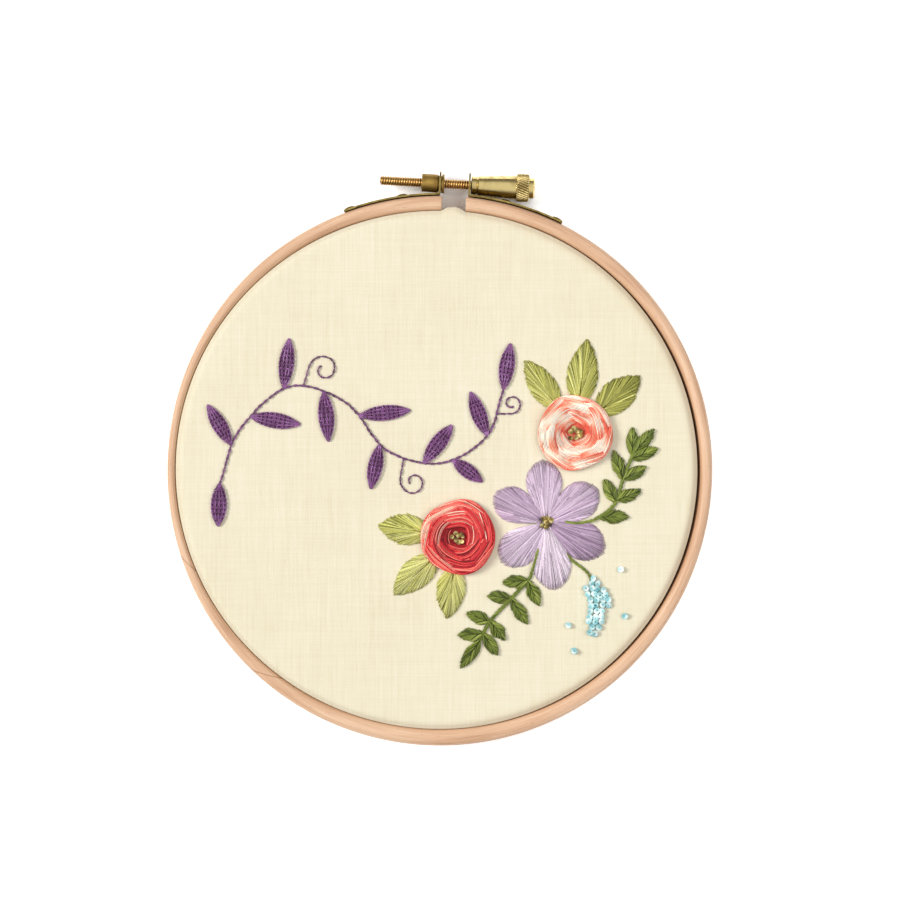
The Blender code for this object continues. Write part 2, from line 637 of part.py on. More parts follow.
def sprig(name, stem_points, leaflets):
    """A stitched stem with small leaves joined to it."""
    path = smooth_path(stem_points, 4)
    stem = tube("sprig_" + name, path, SPRIG_RADIUS, STITCH_BASE + SPRIG_LIFT + SPRIG_RADIUS, GREEN)
    for number, (share, turn, length) in enumerate(leaflets):
        outline = rooted_leaf(path, share, turn, length, LEAFLET_WIDTH, 5)
        leaflet = leaf(f"leaflet_{name}_{number}", outline, LEAFLET_HEIGHT, GREEN, CUTTERS)
        cut(stem, leaflet, "UNION")


def knot_bunch():
    """The bunch of blue knots, its stem, and the loose knots round it."""
    path = smooth_path(KNOT_STEM, 4)
    tube("knot_stem", path, KNOT_STEM_RADIUS, STITCH_BASE + KNOT_STEM_RADIUS, GREEN)
    places = []
    for row, (count, shift) in enumerate(CLUSTER_ROWS):
        for column in range(count):
            x = CLUSTER_TOP[0] + shift + (column - (count - 1) / 2) * KNOT_PITCH
            places.append((x * MM, (CLUSTER_TOP[1] - row * KNOT_ROW) * MM))
    knot_group("knot_bunch", places, BLUE)
    for number, (x, y) in enumerate(STRAY_KNOTS, 1):
        knot(f"knot_{number}", x * MM, y * MM, BLUE)


def tendril_path(start, heading, run, radius, curl):
    """A strand that leaves the stem straight and then winds in, to its left where curl is 1."""
    direction = Vector((math.cos(heading), math.sin(heading)))
    side = Vector((-direction.y, direction.x))
    hub = start + direction * run + side * curl * radius
    path = [start, start + direction * run / 2]
    for i in range(TENDRIL_STEPS + 1):
        share = i / TENDRIL_STEPS
        turn = share * TENDRIL_TURN
        shrink = radius * (1 - TENDRIL_CLOSING * share)
        path.append(hub + (direction * math.sin(turn) - side * curl * math.cos(turn)) * shrink)
    return path


def vine():
    """The purple vine: a waving stem with leaves and curled tendrils, one solid."""
    path = smooth_path(VINE_STEM, 4)
    stem = tube("vine", path, VINE_RADIUS, STITCH_BASE + SPRIG_LIFT + VINE_RADIUS, PURPLE)
    for number, (share, turn, length, width) in enumerate(VINE_LEAVES):
        outline = rooted_leaf(path, share, turn, length, width, 6)
        blade = leaf(f"vine_leaf_{number}", outline, VINE_LEAF_HEIGHT, PURPLE, CUTTERS)
        cut(stem, blade, "UNION")
    for number, (share, turn, run, radius, curl) in enumerate(TENDRILS):
        place, heading = along(path, share)
        winding = tendril_path(place, heading + math.radians(turn), run * MM, radius * MM, curl)
        strand = tube(f"tendril_{number}", winding, TENDRIL_RADIUS,
                      STITCH_BASE + 2 * SPRIG_LIFT + VINE_RADIUS, PURPLE, CUTTERS)
        cut(stem, strand, "UNION")


outer_ring = wooden_rings()
stretched_cloth()
strap("strap_left", -1, outer_ring)
strap("strap_right", 1, outer_ring)
threaded_bush()
thumb_screw()
for rose_name, rose_centre in ROSES.items():
    woven_rose(rose_name, rose_centre, {"coral": CORAL, "peach": PEACH}[rose_name])
lime_leaves()
petal_flower()
for sprig_name in SPRIG_PATHS:
    sprig(sprig_name, SPRIG_PATHS[sprig_name], LEAFLETS[sprig_name])
knot_bunch()
vine()
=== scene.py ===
"""A hoop embroidery in its real finishes: bent beech, brass, cotton and stranded floss.

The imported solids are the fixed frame. Each class builds one sub-assembly on the
solids' own sizes and puts it in their place: the wooden rings, the cloth, the
closing hardware, and every thread that is stitched. Lengths are millimetres
from the hoop's centre until a piece is finished, which puts it in metres.
"""

import logging
import math
from dataclasses import dataclass, field
from enum import Enum
from typing import Protocol, Union

import bmesh
import bpy
import numpy as np
from mathutils import Matrix, Vector, noise


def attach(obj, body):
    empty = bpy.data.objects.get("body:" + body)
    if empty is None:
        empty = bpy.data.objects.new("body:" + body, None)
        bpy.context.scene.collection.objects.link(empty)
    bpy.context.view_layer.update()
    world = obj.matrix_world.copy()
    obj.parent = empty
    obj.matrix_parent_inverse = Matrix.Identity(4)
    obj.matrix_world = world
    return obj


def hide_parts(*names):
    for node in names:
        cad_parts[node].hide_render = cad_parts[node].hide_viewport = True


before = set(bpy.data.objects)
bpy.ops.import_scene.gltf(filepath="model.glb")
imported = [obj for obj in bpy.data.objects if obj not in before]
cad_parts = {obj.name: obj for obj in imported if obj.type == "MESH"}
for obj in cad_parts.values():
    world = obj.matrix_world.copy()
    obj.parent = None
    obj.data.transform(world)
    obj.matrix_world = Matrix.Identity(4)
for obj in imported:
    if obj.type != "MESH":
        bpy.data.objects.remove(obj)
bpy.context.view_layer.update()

LOG = logging.getLogger("hoop")

MM = 0.001
CENTRE_Y = -4.025
STITCH_TURN = math.radians(3.0)
HOOP_PLACE = Matrix.Scale(MM, 4) @ Matrix.Translation((0, CENTRE_Y, 0))
STITCH_PLACE = HOOP_PLACE @ Matrix.Rotation(STITCH_TURN, 4, "Z")

RING_RADIUS = 82.5
RING_WALL = 4.4
CLOTH_TOP = 10.7
STITCH_BASE = 11.0
SCREW_Y = 86.35
HARDWARE_Z = 5.0
LEAN_LOW, LEAN_HIGH = 2.0, 8.0
SHIFT_LEFT, SHIFT_RIGHT, GROOVE_RIGHT = 1.5, -0.5, 0.25

Colour = tuple[float, float, float, float]
Number = Union[float, "Signal"]


def ink(red: float, green: float, blue: float) -> Colour:
    """Return the linear colour of a display colour given as parts of 255."""
    parts = [part / 255 for part in (red, green, blue)]
    return tuple(p / 12.92 if p < 0.04045 else ((p + 0.055) / 1.055) ** 2.4 for p in parts) + (1.0,)


class Body(str, Enum):
    """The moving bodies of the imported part."""

    HOOP = "hoop"
    SCREW = "screw"


class Reach(Enum):
    """The stitches that fill a petal, each with the shares of its length where it may start."""

    WHOLE = (0.0, 0.12)
    OUTER = (0.25, 0.6)
    SHORT = (0.0, 0.08)


class Signal:
    """A shader socket that takes part in Python sums, each of which adds its Math node."""

    def __init__(self, recipe: "Recipe", socket: bpy.types.NodeSocket) -> None:
        """Hold an output socket and the recipe that it belongs to."""
        self.recipe = recipe
        self.socket = socket

    def math(self, operation: str, first: Number, second: Number = 0.0) -> "Signal":
        """Return one Math node's result."""
        return self.recipe.node("ShaderNodeMath", {"operation": operation}, {0: first, 1: second})

    def __add__(self, other: Number) -> "Signal":
        """Return the sum."""
        return self.math("ADD", self, other)

    __radd__ = __add__

    def __sub__(self, other: Number) -> "Signal":
        """Return the difference."""
        return self.math("SUBTRACT", self, other)

    def __rsub__(self, other: Number) -> "Signal":
        """Return the difference from a plain number."""
        return self.math("SUBTRACT", other, self)

    def __mul__(self, other: Number) -> "Signal":
        """Return the product."""
        return self.math("MULTIPLY", self, other)

    __rmul__ = __mul__

    def __truediv__(self, other: Number) -> "Signal":
        """Return the quotient."""
        return self.math("DIVIDE", self, other)

    def __rtruediv__(self, other: Number) -> "Signal":
        """Return the quotient of a plain number by this."""
        return self.math("DIVIDE", other, self)

    def __pow__(self, other: Number) -> "Signal":
        """Return the power."""
        return self.math("POWER", self, other)

    def __neg__(self) -> "Signal":
        """Return the value with its sign turned."""
        return self.math("MULTIPLY", self, -1.0)

    def __abs__(self) -> "Signal":
        """Return the size without its sign."""
        return self.math("ABSOLUTE", self)

    def sine(self) -> "Signal":
        """Return the sine of an angle in radians."""
        return self.math("SINE", self)

    def step(self, low: float, high: float) -> "Signal":
        """Return a smooth rise from 0 at one value to 1 at another."""
        return self.recipe.node("ShaderNodeMapRange", {"interpolation_type": "SMOOTHSTEP"},
                                {"Value": self, "From Min": low, "From Max": high})


class Recipe:
    """One procedural material and the nodes that make it."""

    def __init__(self, name: str) -> None:
        """Start a Principled material.

        Args:
            name: the material's name.
        """
        self.material = bpy.data.materials.new(name)
        self.material.use_nodes = True
        self.tree = self.material.node_tree
        self.shader = self.tree.nodes["Principled BSDF"]

    def node(self, kind: str, settings: dict | None = None, inputs: dict | None = None,
             output: int | str = 0) -> Signal:
        """Add one node.

        Args:
            kind: the node's type name.
            settings: its own options, set first; "stops" fills a colour ramp.
            inputs: a value or a signal for each named or numbered socket.
            output: which of its outputs is wanted.

        Returns:
            The wanted output as a signal.
        """
        made = self.tree.nodes.new(kind)
        for key, value in (settings or {}).items():
            if key == "stops":
                self.fill_ramp(made.color_ramp, value)
            else:
                setattr(made, key, value)
        for key, value in (inputs or {}).items():
            self.feed(made.inputs[key], value)
        return Signal(self, made.outputs[output])

    @staticmethod
    def fill_ramp(ramp: bpy.types.ColorRamp, stops: tuple) -> None:
        """Give a colour ramp its (place, colour) stops.

        Args:
            ramp: the ramp.
            stops: the stops, in order.
        """
        while len(ramp.elements) < len(stops):
            ramp.elements.new(0.5)
        for element, (place, colour) in zip(ramp.elements, stops):
            element.position = place
            element.color = colour

    def feed(self, socket: bpy.types.NodeSocket, value: object) -> None:
        """Link a signal to a socket, or set the socket's own value.

        Args:
            socket: the input socket.
            value: a signal, or what the socket holds.
        """
        if isinstance(value, Signal):
            self.tree.links.new(value.socket, socket)
        else:
            socket.default_value = value

    def dress(self, **values: object) -> bpy.types.Material:
        """Feed the shader's sockets, named with _ for a space, and return the material.

        Args:
            values: a value or a signal for each socket.

        Returns:
            The dressed material.
        """
        for key, value in values.items():
            self.feed(self.shader.inputs[key.replace("_", " ")], value)
        return self.material

    def split(self, vector: Signal) -> tuple[Signal, Signal, Signal]:
        """Return the three parts of a vector.

        Args:
            vector: the vector.

        Returns:
            Its x, y and z.
        """
        parts = self.node("ShaderNodeSeparateXYZ", inputs={0: vector})
        outputs = parts.socket.node.outputs
        return tuple(Signal(self, outputs[i]) for i in range(3))

    def join(self, x: Number, y: Number, z: Number) -> Signal:
        """Return a vector of three numbers."""
        return self.node("ShaderNodeCombineXYZ", inputs={0: x, 1: y, 2: z})

    def on_hoop(self, turn: float = 0.0) -> tuple[Signal, Signal, Signal]:
        """Return millimetres from the hoop's centre, turned about it.

        Args:
            turn: how far the pattern is turned, in radians.

        Returns:
            The x, y and z of the surface.
        """
        place = self.node("ShaderNodeTexCoord", output="Object")
        moved = self.node("ShaderNodeMapping", {"vector_type": "TEXTURE"},
                          {"Vector": place, "Location": (0, CENTRE_Y * MM, 0),
                           "Rotation": (0, 0, turn), "Scale": (MM, MM, MM)})
        return self.split(moved)

    def noise(self, vector: Signal, detail: float = 2.0, roughness: float = 0.5) -> Signal:
        """Return noise between 0 and 1 whose grain is one unit of the vector."""
        return self.node("ShaderNodeTexNoise", None,
                         {"Vector": vector, "Scale": 1.0, "Detail": detail, "Roughness": roughness})

    def attribute(self, name: str) -> Signal:
        """Return a number that the mesh holds at each point."""
        return self.node("ShaderNodeAttribute", {"attribute_name": name}, output="Fac")

    def ramp(self, factor: Signal, stops: tuple) -> Signal:
        """Return the colour at a place of a ramp."""
        return self.node("ShaderNodeValToRGB", {"stops": stops}, {0: factor})

    def mix(self, factor: Number, first: object, second: object, mode: str = "MIX") -> Signal:
        """Return a mix of two colours."""
        return self.node("ShaderNodeMix", {"data_type": "RGBA", "blend_type": mode},
                         {0: factor, 6: first, 7: second}, 2)

    def lit(self, colour: Signal, strength: Signal) -> Signal:
        """Return a colour made lighter or darker."""
        return self.node("ShaderNodeVectorMath", {"operation": "SCALE"},
                         {0: colour, "Scale": strength})

    def bump(self, height: Signal, depth: float, strength: float = 1.0) -> Signal:
        """Return a normal for relief of a depth in millimetres."""
        return self.node("ShaderNodeBump", None,
                         {"Strength": strength, "Distance": depth * MM, "Height": height})


class Finish(Protocol):
    """What a piece is dressed in."""

    slot: str

    def material(self) -> bpy.types.Material:
        """Return the procedural material."""


@dataclass(frozen=True)
class Beech:
    """Steam-bent beech with a satin face; its grain runs along the ring."""

    slot: str = "beech"
    pale: Colour = ink(226, 192, 162)
    middle: Colour = ink(209, 169, 136)
    deep: Colour = ink(179, 134, 102)
    fleck: Colour = ink(128, 80, 50)
    joints: tuple[float, ...] = (159.3, 130.1)

    def material(self) -> bpy.types.Material:
        """Return streaks, flecks and the two glued joints in polar coordinates.

        Returns:
            The wood, its grain along the ring.
        """
        wood = Recipe("bent_beech")
        x, y, z = wood.on_hoop()
        radius = (x * x + y * y) ** 0.5
        angle = x.math("ARCTAN2", x, -y)
        run = angle * RING_RADIUS
        broad = wood.noise(wood.join(run / 34, radius / 2.2, z / 2.2), 3.0)
        streak = wood.noise(wood.join(run / 13, radius / 0.34, z / 0.34), 4.0, 0.6)
        pores = wood.noise(wood.join(run / 1.7, radius / 0.2, z / 0.2), 1.0)
        figure = broad * 0.55 + streak * 0.45
        colour = wood.ramp(figure, ((0.3, self.deep), (0.5, self.middle), (0.68, self.pale)))
        flecks = pores.step(0.66, 0.78) * 0.4
        colour = wood.mix(flecks, colour, self.fleck)
        joint: Number = 0.0
        for degrees in self.joints:
            reach = math.radians(90 + degrees) % math.tau - math.pi
            near = abs(run - -reach * RING_RADIUS + (radius - RING_RADIUS) * 2.2)
            joint = (1 - near.step(0.15, 0.5)) + joint
        colour = wood.mix(joint * 0.55, colour, self.fleck)
        relief = streak * 0.7 + pores * 0.3 - joint * 0.5
        return wood.dress(Base_Color=colour, Roughness=0.42 + streak * 0.18,
                          Normal=wood.bump(relief, 0.05, 0.6))


@dataclass(frozen=True)
class Brass:
    """Turned or rolled brass, lightly tarnished."""

    name: str = "turned_brass"
    slot: str = "brass"
    bright: Colour = ink(224, 200, 136)
    tarnish: Colour = ink(146, 122, 66)
    worn: float = 0.35
    roughness: float = 0.22

    def material(self) -> bpy.types.Material:
        """Return brass whose tarnish and polish vary in soft patches.

        Returns:
            The plain brass.
        """
        metal = Recipe(self.name)
        x, y, z = metal.on_hoop()
        patches = metal.noise(metal.join(x / 2.4, y / 2.4, z / 2.4), 4.0, 0.6)
        scratches = metal.noise(metal.join(x / 0.12, y / 1.4, z / 1.4), 2.0)
        dull = patches.step(0.62 - self.worn, 1.05 - self.worn * 0.6)
        colour = metal.mix(dull, self.bright, self.tarnish)
        return metal.dress(Base_Color=colour, Metallic=1.0,
                           Roughness=self.roughness + dull * 0.2 + scratches * 0.08,
                           Normal=metal.bump(scratches, 0.01, 0.4))


@dataclass(frozen=True)
class CutBrass(Brass):
    """Brass with a thread or a knurl cut in it, dark at the bottom of the cuts, redder on the rod."""

    red: Colour = ink(224, 150, 66)

    def material(self) -> bpy.types.Material:
        """Return brass that the mesh's own groove depth makes darker and rougher.

        Returns:
            The brass of the cut pieces.
        """
        metal = Recipe(self.name)
        x, y, z = metal.on_hoop()
        patches = metal.noise(metal.join(x / 2.4, y / 2.4, z / 2.4), 4.0, 0.6)
        groove = metal.attribute("groove")
        dull = patches.step(0.62 - self.worn, 1.05 - self.worn * 0.6)
        colour = metal.mix(dull, self.bright, self.tarnish)
        rod = 1 - x.step(4.6, 5.0)
        colour = metal.mix(rod * 0.5, colour, self.red)
        colour = metal.mix(groove * 0.85, colour, ink(70, 48, 16))
        return metal.dress(Base_Color=colour, Metallic=1.0,
                           Roughness=self.roughness + dull * 0.2 + groove * 0.3)


@dataclass(frozen=True)
class Cotton:
    """Cream plain-woven cotton with uneven yarns."""

    slot: str = "cotton"
    pale: Colour = ink(228, 222, 202)
    middle: Colour = ink(222, 214, 189)
    deep: Colour = ink(214, 203, 174)
    # colour of the painted shade and reflected wood light on the cloth's rim
    rim_shade_colour: Colour = ink(214, 184, 143)
    yarn: float = 0.42

    def material(self) -> bpy.types.Material:
        """Return crossed yarns, thick and thin places, a woven relief, and painted shade on the rim.

        Returns:
            The woven cotton.
        """
        cloth = Recipe("cream_cotton")
        x, y, z = cloth.on_hoop(STITCH_TURN)
        warp = cloth.noise(cloth.join(x / self.yarn, y / 26, z / 6), 1.0)
        weft = cloth.noise(cloth.join(x / 26, y / self.yarn, z / 6), 1.0)
        slub_up = cloth.noise(cloth.join(x / 0.8, y / 7, z / 6), 2.0)
        slub_across = cloth.noise(cloth.join(x / 7, y / 0.8, z / 6), 2.0)
        cloud = cloth.noise(cloth.join(x / 24, y / 24, z / 24), 2.0)
        figure = warp * 0.3 + weft * 0.2 + slub_up * 0.22 + slub_across * 0.08 + cloud * 0.2
        colour = cloth.ramp(figure, ((0.30, self.deep), (0.5, self.middle), (0.7, self.pale)))
        # painted shade: the rim's outer band is tinted brown, more on the right where it turns from the
        # light, for its shade and the wood's reflected light
        painted_rim_shade = ((x * x + y * y) ** 0.5).step(73.5, 77.5) * x.step(-35.0, 55.0)
        colour = cloth.mix(painted_rim_shade * 0.32, colour, self.rim_shade_colour)
        turns = math.pi / self.yarn
        weave = (x * turns).sine() * (y * turns).sine()
        relief = weave * 0.25 + warp * 0.5 + weft * 0.5 + slub_up * 0.4
        return cloth.dress(Base_Color=colour, Roughness=0.9, Sheen_Weight=0.25,
                           Sheen_Roughness=0.5, Specular_IOR_Level=0.25,
                           Normal=cloth.bump(relief, 0.10, 0.5))


@dataclass(frozen=True)
class Floss:
    """Stranded cotton floss; the mesh holds each strand's dye and tone.

    Attributes:
        slot: the start of the material's name.
        dyes: colours along the dye, as (place, colour).
        deepest: light that a strand of the lowest tone keeps.
        spread: light that the highest tone adds to it.
        roughness: the thread's roughness.
        twist: length of one turn of its plies.
        fibre: length of a fibre's light and dark.
    """

    slot: str
    dyes: tuple[tuple[float, Colour], ...]
    deepest: float = 0.72
    spread: float = 0.5
    roughness: float = 0.58
    twist: float = 0.9
    fibre: float = 0.6

    def material(self) -> bpy.types.Material:
        """Return the dyed strand with its two twisted plies.

        Returns:
            The strand's material.
        """
        thread = Recipe(self.slot + "_threads")
        tone, dye = thread.attribute("tone"), thread.attribute("dye")
        along, around, _ = thread.split(thread.node("ShaderNodeTexCoord", output="UV"))
        ply = ((along / self.twist + around * 2) * math.tau).sine()
        fibres = thread.noise(thread.join(along / self.fibre, around * 9, tone * 40), 1.0)
        light = self.deepest + tone * self.spread + (fibres - 0.5) * 0.5
        colour = thread.lit(thread.ramp(dye, self.dyes), light)
        return thread.dress(Base_Color=colour, Roughness=self.roughness, Sheen_Weight=0.3,
                            Sheen_Roughness=0.4, Specular_IOR_Level=0.45,
                            Normal=thread.bump(ply * 0.5 + fibres * 0.5, 0.06, 0.5))


CORAL = Floss("coral_floss", ((0.0, ink(128, 4, 16)), (0.22, ink(206, 22, 40)),
                              (0.45, ink(238, 70, 70)), (0.7, ink(250, 136, 120)),
                              (1.0, ink(255, 220, 194))), 0.7, 0.65)
PEACH = Floss("peach_floss", ((0.0, ink(232, 92, 72)), (0.25, ink(250, 138, 108)),
                              (0.5, ink(255, 184, 154)), (0.75, ink(255, 222, 200)),
                              (1.0, ink(255, 247, 230))), 0.86, 0.34)
GOLD = Floss("gold_floss", ((0.0, ink(70, 50, 14)), (0.45, ink(148, 124, 52)),
                            (1.0, ink(232, 216, 146))), 0.5, 0.8)
LILAC = Floss("lilac_floss", ((0.0, ink(150, 120, 150)), (0.5, ink(200, 177, 200)),
                              (1.0, ink(238, 222, 234))), 0.55, 0.85)
LIME = Floss("lime_floss", ((0.0, ink(116, 118, 38)), (0.5, ink(186, 184, 92)),
                            (1.0, ink(238, 236, 166))), 0.58, 0.8)
GREEN = Floss("green_floss", ((0.0, ink(70, 84, 18)), (0.5, ink(120, 134, 46)),
                              (1.0, ink(178, 186, 96))), 0.66, 0.75)
BLUE = Floss("blue_floss", ((0.0, ink(92, 164, 172)), (0.5, ink(172, 214, 216)),
                            (1.0, ink(242, 248, 246))), 0.75, 0.5)
PURPLE = Floss("purple_floss", ((0.0, ink(88, 40, 78)), (0.5, ink(128, 76, 130)),
                                (1.0, ink(176, 132, 184))), 0.62, 0.75)


class Bench:
    """Where finished meshes become pieces of the scene."""

    def __init__(self) -> None:
        """Start with no material made."""
        self.materials: dict[str, bpy.types.Material] = {}

    def material(self, finish: Finish) -> bpy.types.Material:
        """Return a finish's material, made once.

        Args:
            finish: the finish.

        Returns:
            Its material.
        """
        key = repr(finish)
        if key not in self.materials:
            self.materials[key] = finish.material()
        return self.materials[key]

    def piece(self, name: str, mesh: bpy.types.Mesh, finish: Finish, nodes: list[str],
              place: Matrix = HOOP_PLACE, body: Body = Body.HOOP) -> bpy.types.Object:
        """Put a finished mesh in the scene in place of its solids.

        Args:
            name: the piece's name.
            mesh: its mesh in millimetres from the hoop's centre.
            finish: what it is dressed in.
            nodes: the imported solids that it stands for.
            place: where the mesh goes in the part's frame.
            body: the body that it moves with.

        Returns:
            The new object, at the origin, with its place in its mesh.
        """
        mesh.transform(place)
        mesh.materials.clear()
        mesh.materials.append(self.material(finish))
        made = bpy.data.objects.new(name, mesh)
        bpy.context.scene.collection.objects.link(made)
        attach(made, body.value)
        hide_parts(*nodes)
        LOG.info("%s: %d faces, in place of %s", name, len(mesh.polygons), ", ".join(nodes))
        return made


def finished(bm: bmesh.types.BMesh, name: str, sharp: float = 40.0) -> bpy.types.Mesh:
    """Close a bmesh into smooth mesh data with outward faces.

    Args:
        bm: the bmesh, which is freed.
        name: the mesh's name.
        sharp: angle in degrees above which an edge stays sharp.

    Returns:
        The mesh.
    """
    bmesh.ops.remove_doubles(bm, verts=bm.verts, dist=0.0005)
    bmesh.ops.recalc_face_normals(bm, faces=bm.faces)
    mesh = bpy.data.meshes.new(name)
    bm.to_mesh(mesh)
    bm.free()
    mesh.shade_smooth()
    mesh.set_sharp_from_angle(angle=math.radians(sharp))
    return mesh


def joined(name: str, parts: list[bpy.types.Mesh]) -> bpy.types.Mesh:
    """Return one mesh of several.

    Args:
        name: the new mesh's name.
        parts: the meshes.

    Returns:
        The new mesh.
    """
    bm = bmesh.new()
    for part in parts:
        bm.from_mesh(part)
    mesh = bpy.data.meshes.new(name)
    bm.to_mesh(mesh)
    bm.free()
    return mesh


def rounded(centre: tuple[float, float], radius: float, start: float, end: float,
            steps: int) -> list[tuple[float, float]]:
    """Return the points of a round corner, its angles in degrees."""
    turns = [math.radians(start + (end - start) * i / steps) for i in range(steps + 1)]
    return [(centre[0] + radius * math.cos(a), centre[1] + radius * math.sin(a)) for a in turns]


def spun(profile: list[tuple[float, float]], steps: int, closed: bool = False,
         sweep: float = math.tau) -> bmesh.types.BMesh:
    """Turn a profile of (radius, height) about Z.

    Args:
        profile: the points of the section.
        steps: faces round the turn.
        closed: whether the section's last point joins its first.
        sweep: how far it turns; a full turn is merged.

    Returns:
        The turned bmesh.
    """
    bm = bmesh.new()
    verts = [bm.verts.new((0, radius, height)) for radius, height in profile]
    pairs = list(zip(verts, verts[1:])) + ([(verts[-1], verts[0])] if closed else [])
    edges = [bm.edges.new(pair) for pair in pairs]
    bmesh.ops.spin(bm, geom=verts + edges, cent=(0, 0, 0), axis=(0, 0, 1), angle=sweep,
                   steps=steps, use_merge=sweep == math.tau)
    bmesh.ops.remove_doubles(bm, verts=bm.verts, dist=0.0005)
    return bm


def turned_along_x(profile: list[tuple[float, float]], steps: int) -> bmesh.types.BMesh:
    """Turn a profile of (radius, place along X) about the closing screw's axis.

    Args:
        profile: the points of the section, or its half where it meets the axis.
        steps: faces round the turn.

    Returns:
        The turned bmesh, its axis along X.
    """
    bm = spun(profile, steps, closed=profile[0][0] > 0)
    bmesh.ops.rotate(bm, verts=bm.verts, cent=(0, 0, 0), matrix=Matrix.Rotation(math.pi / 2, 3, "Y"))
    return bm


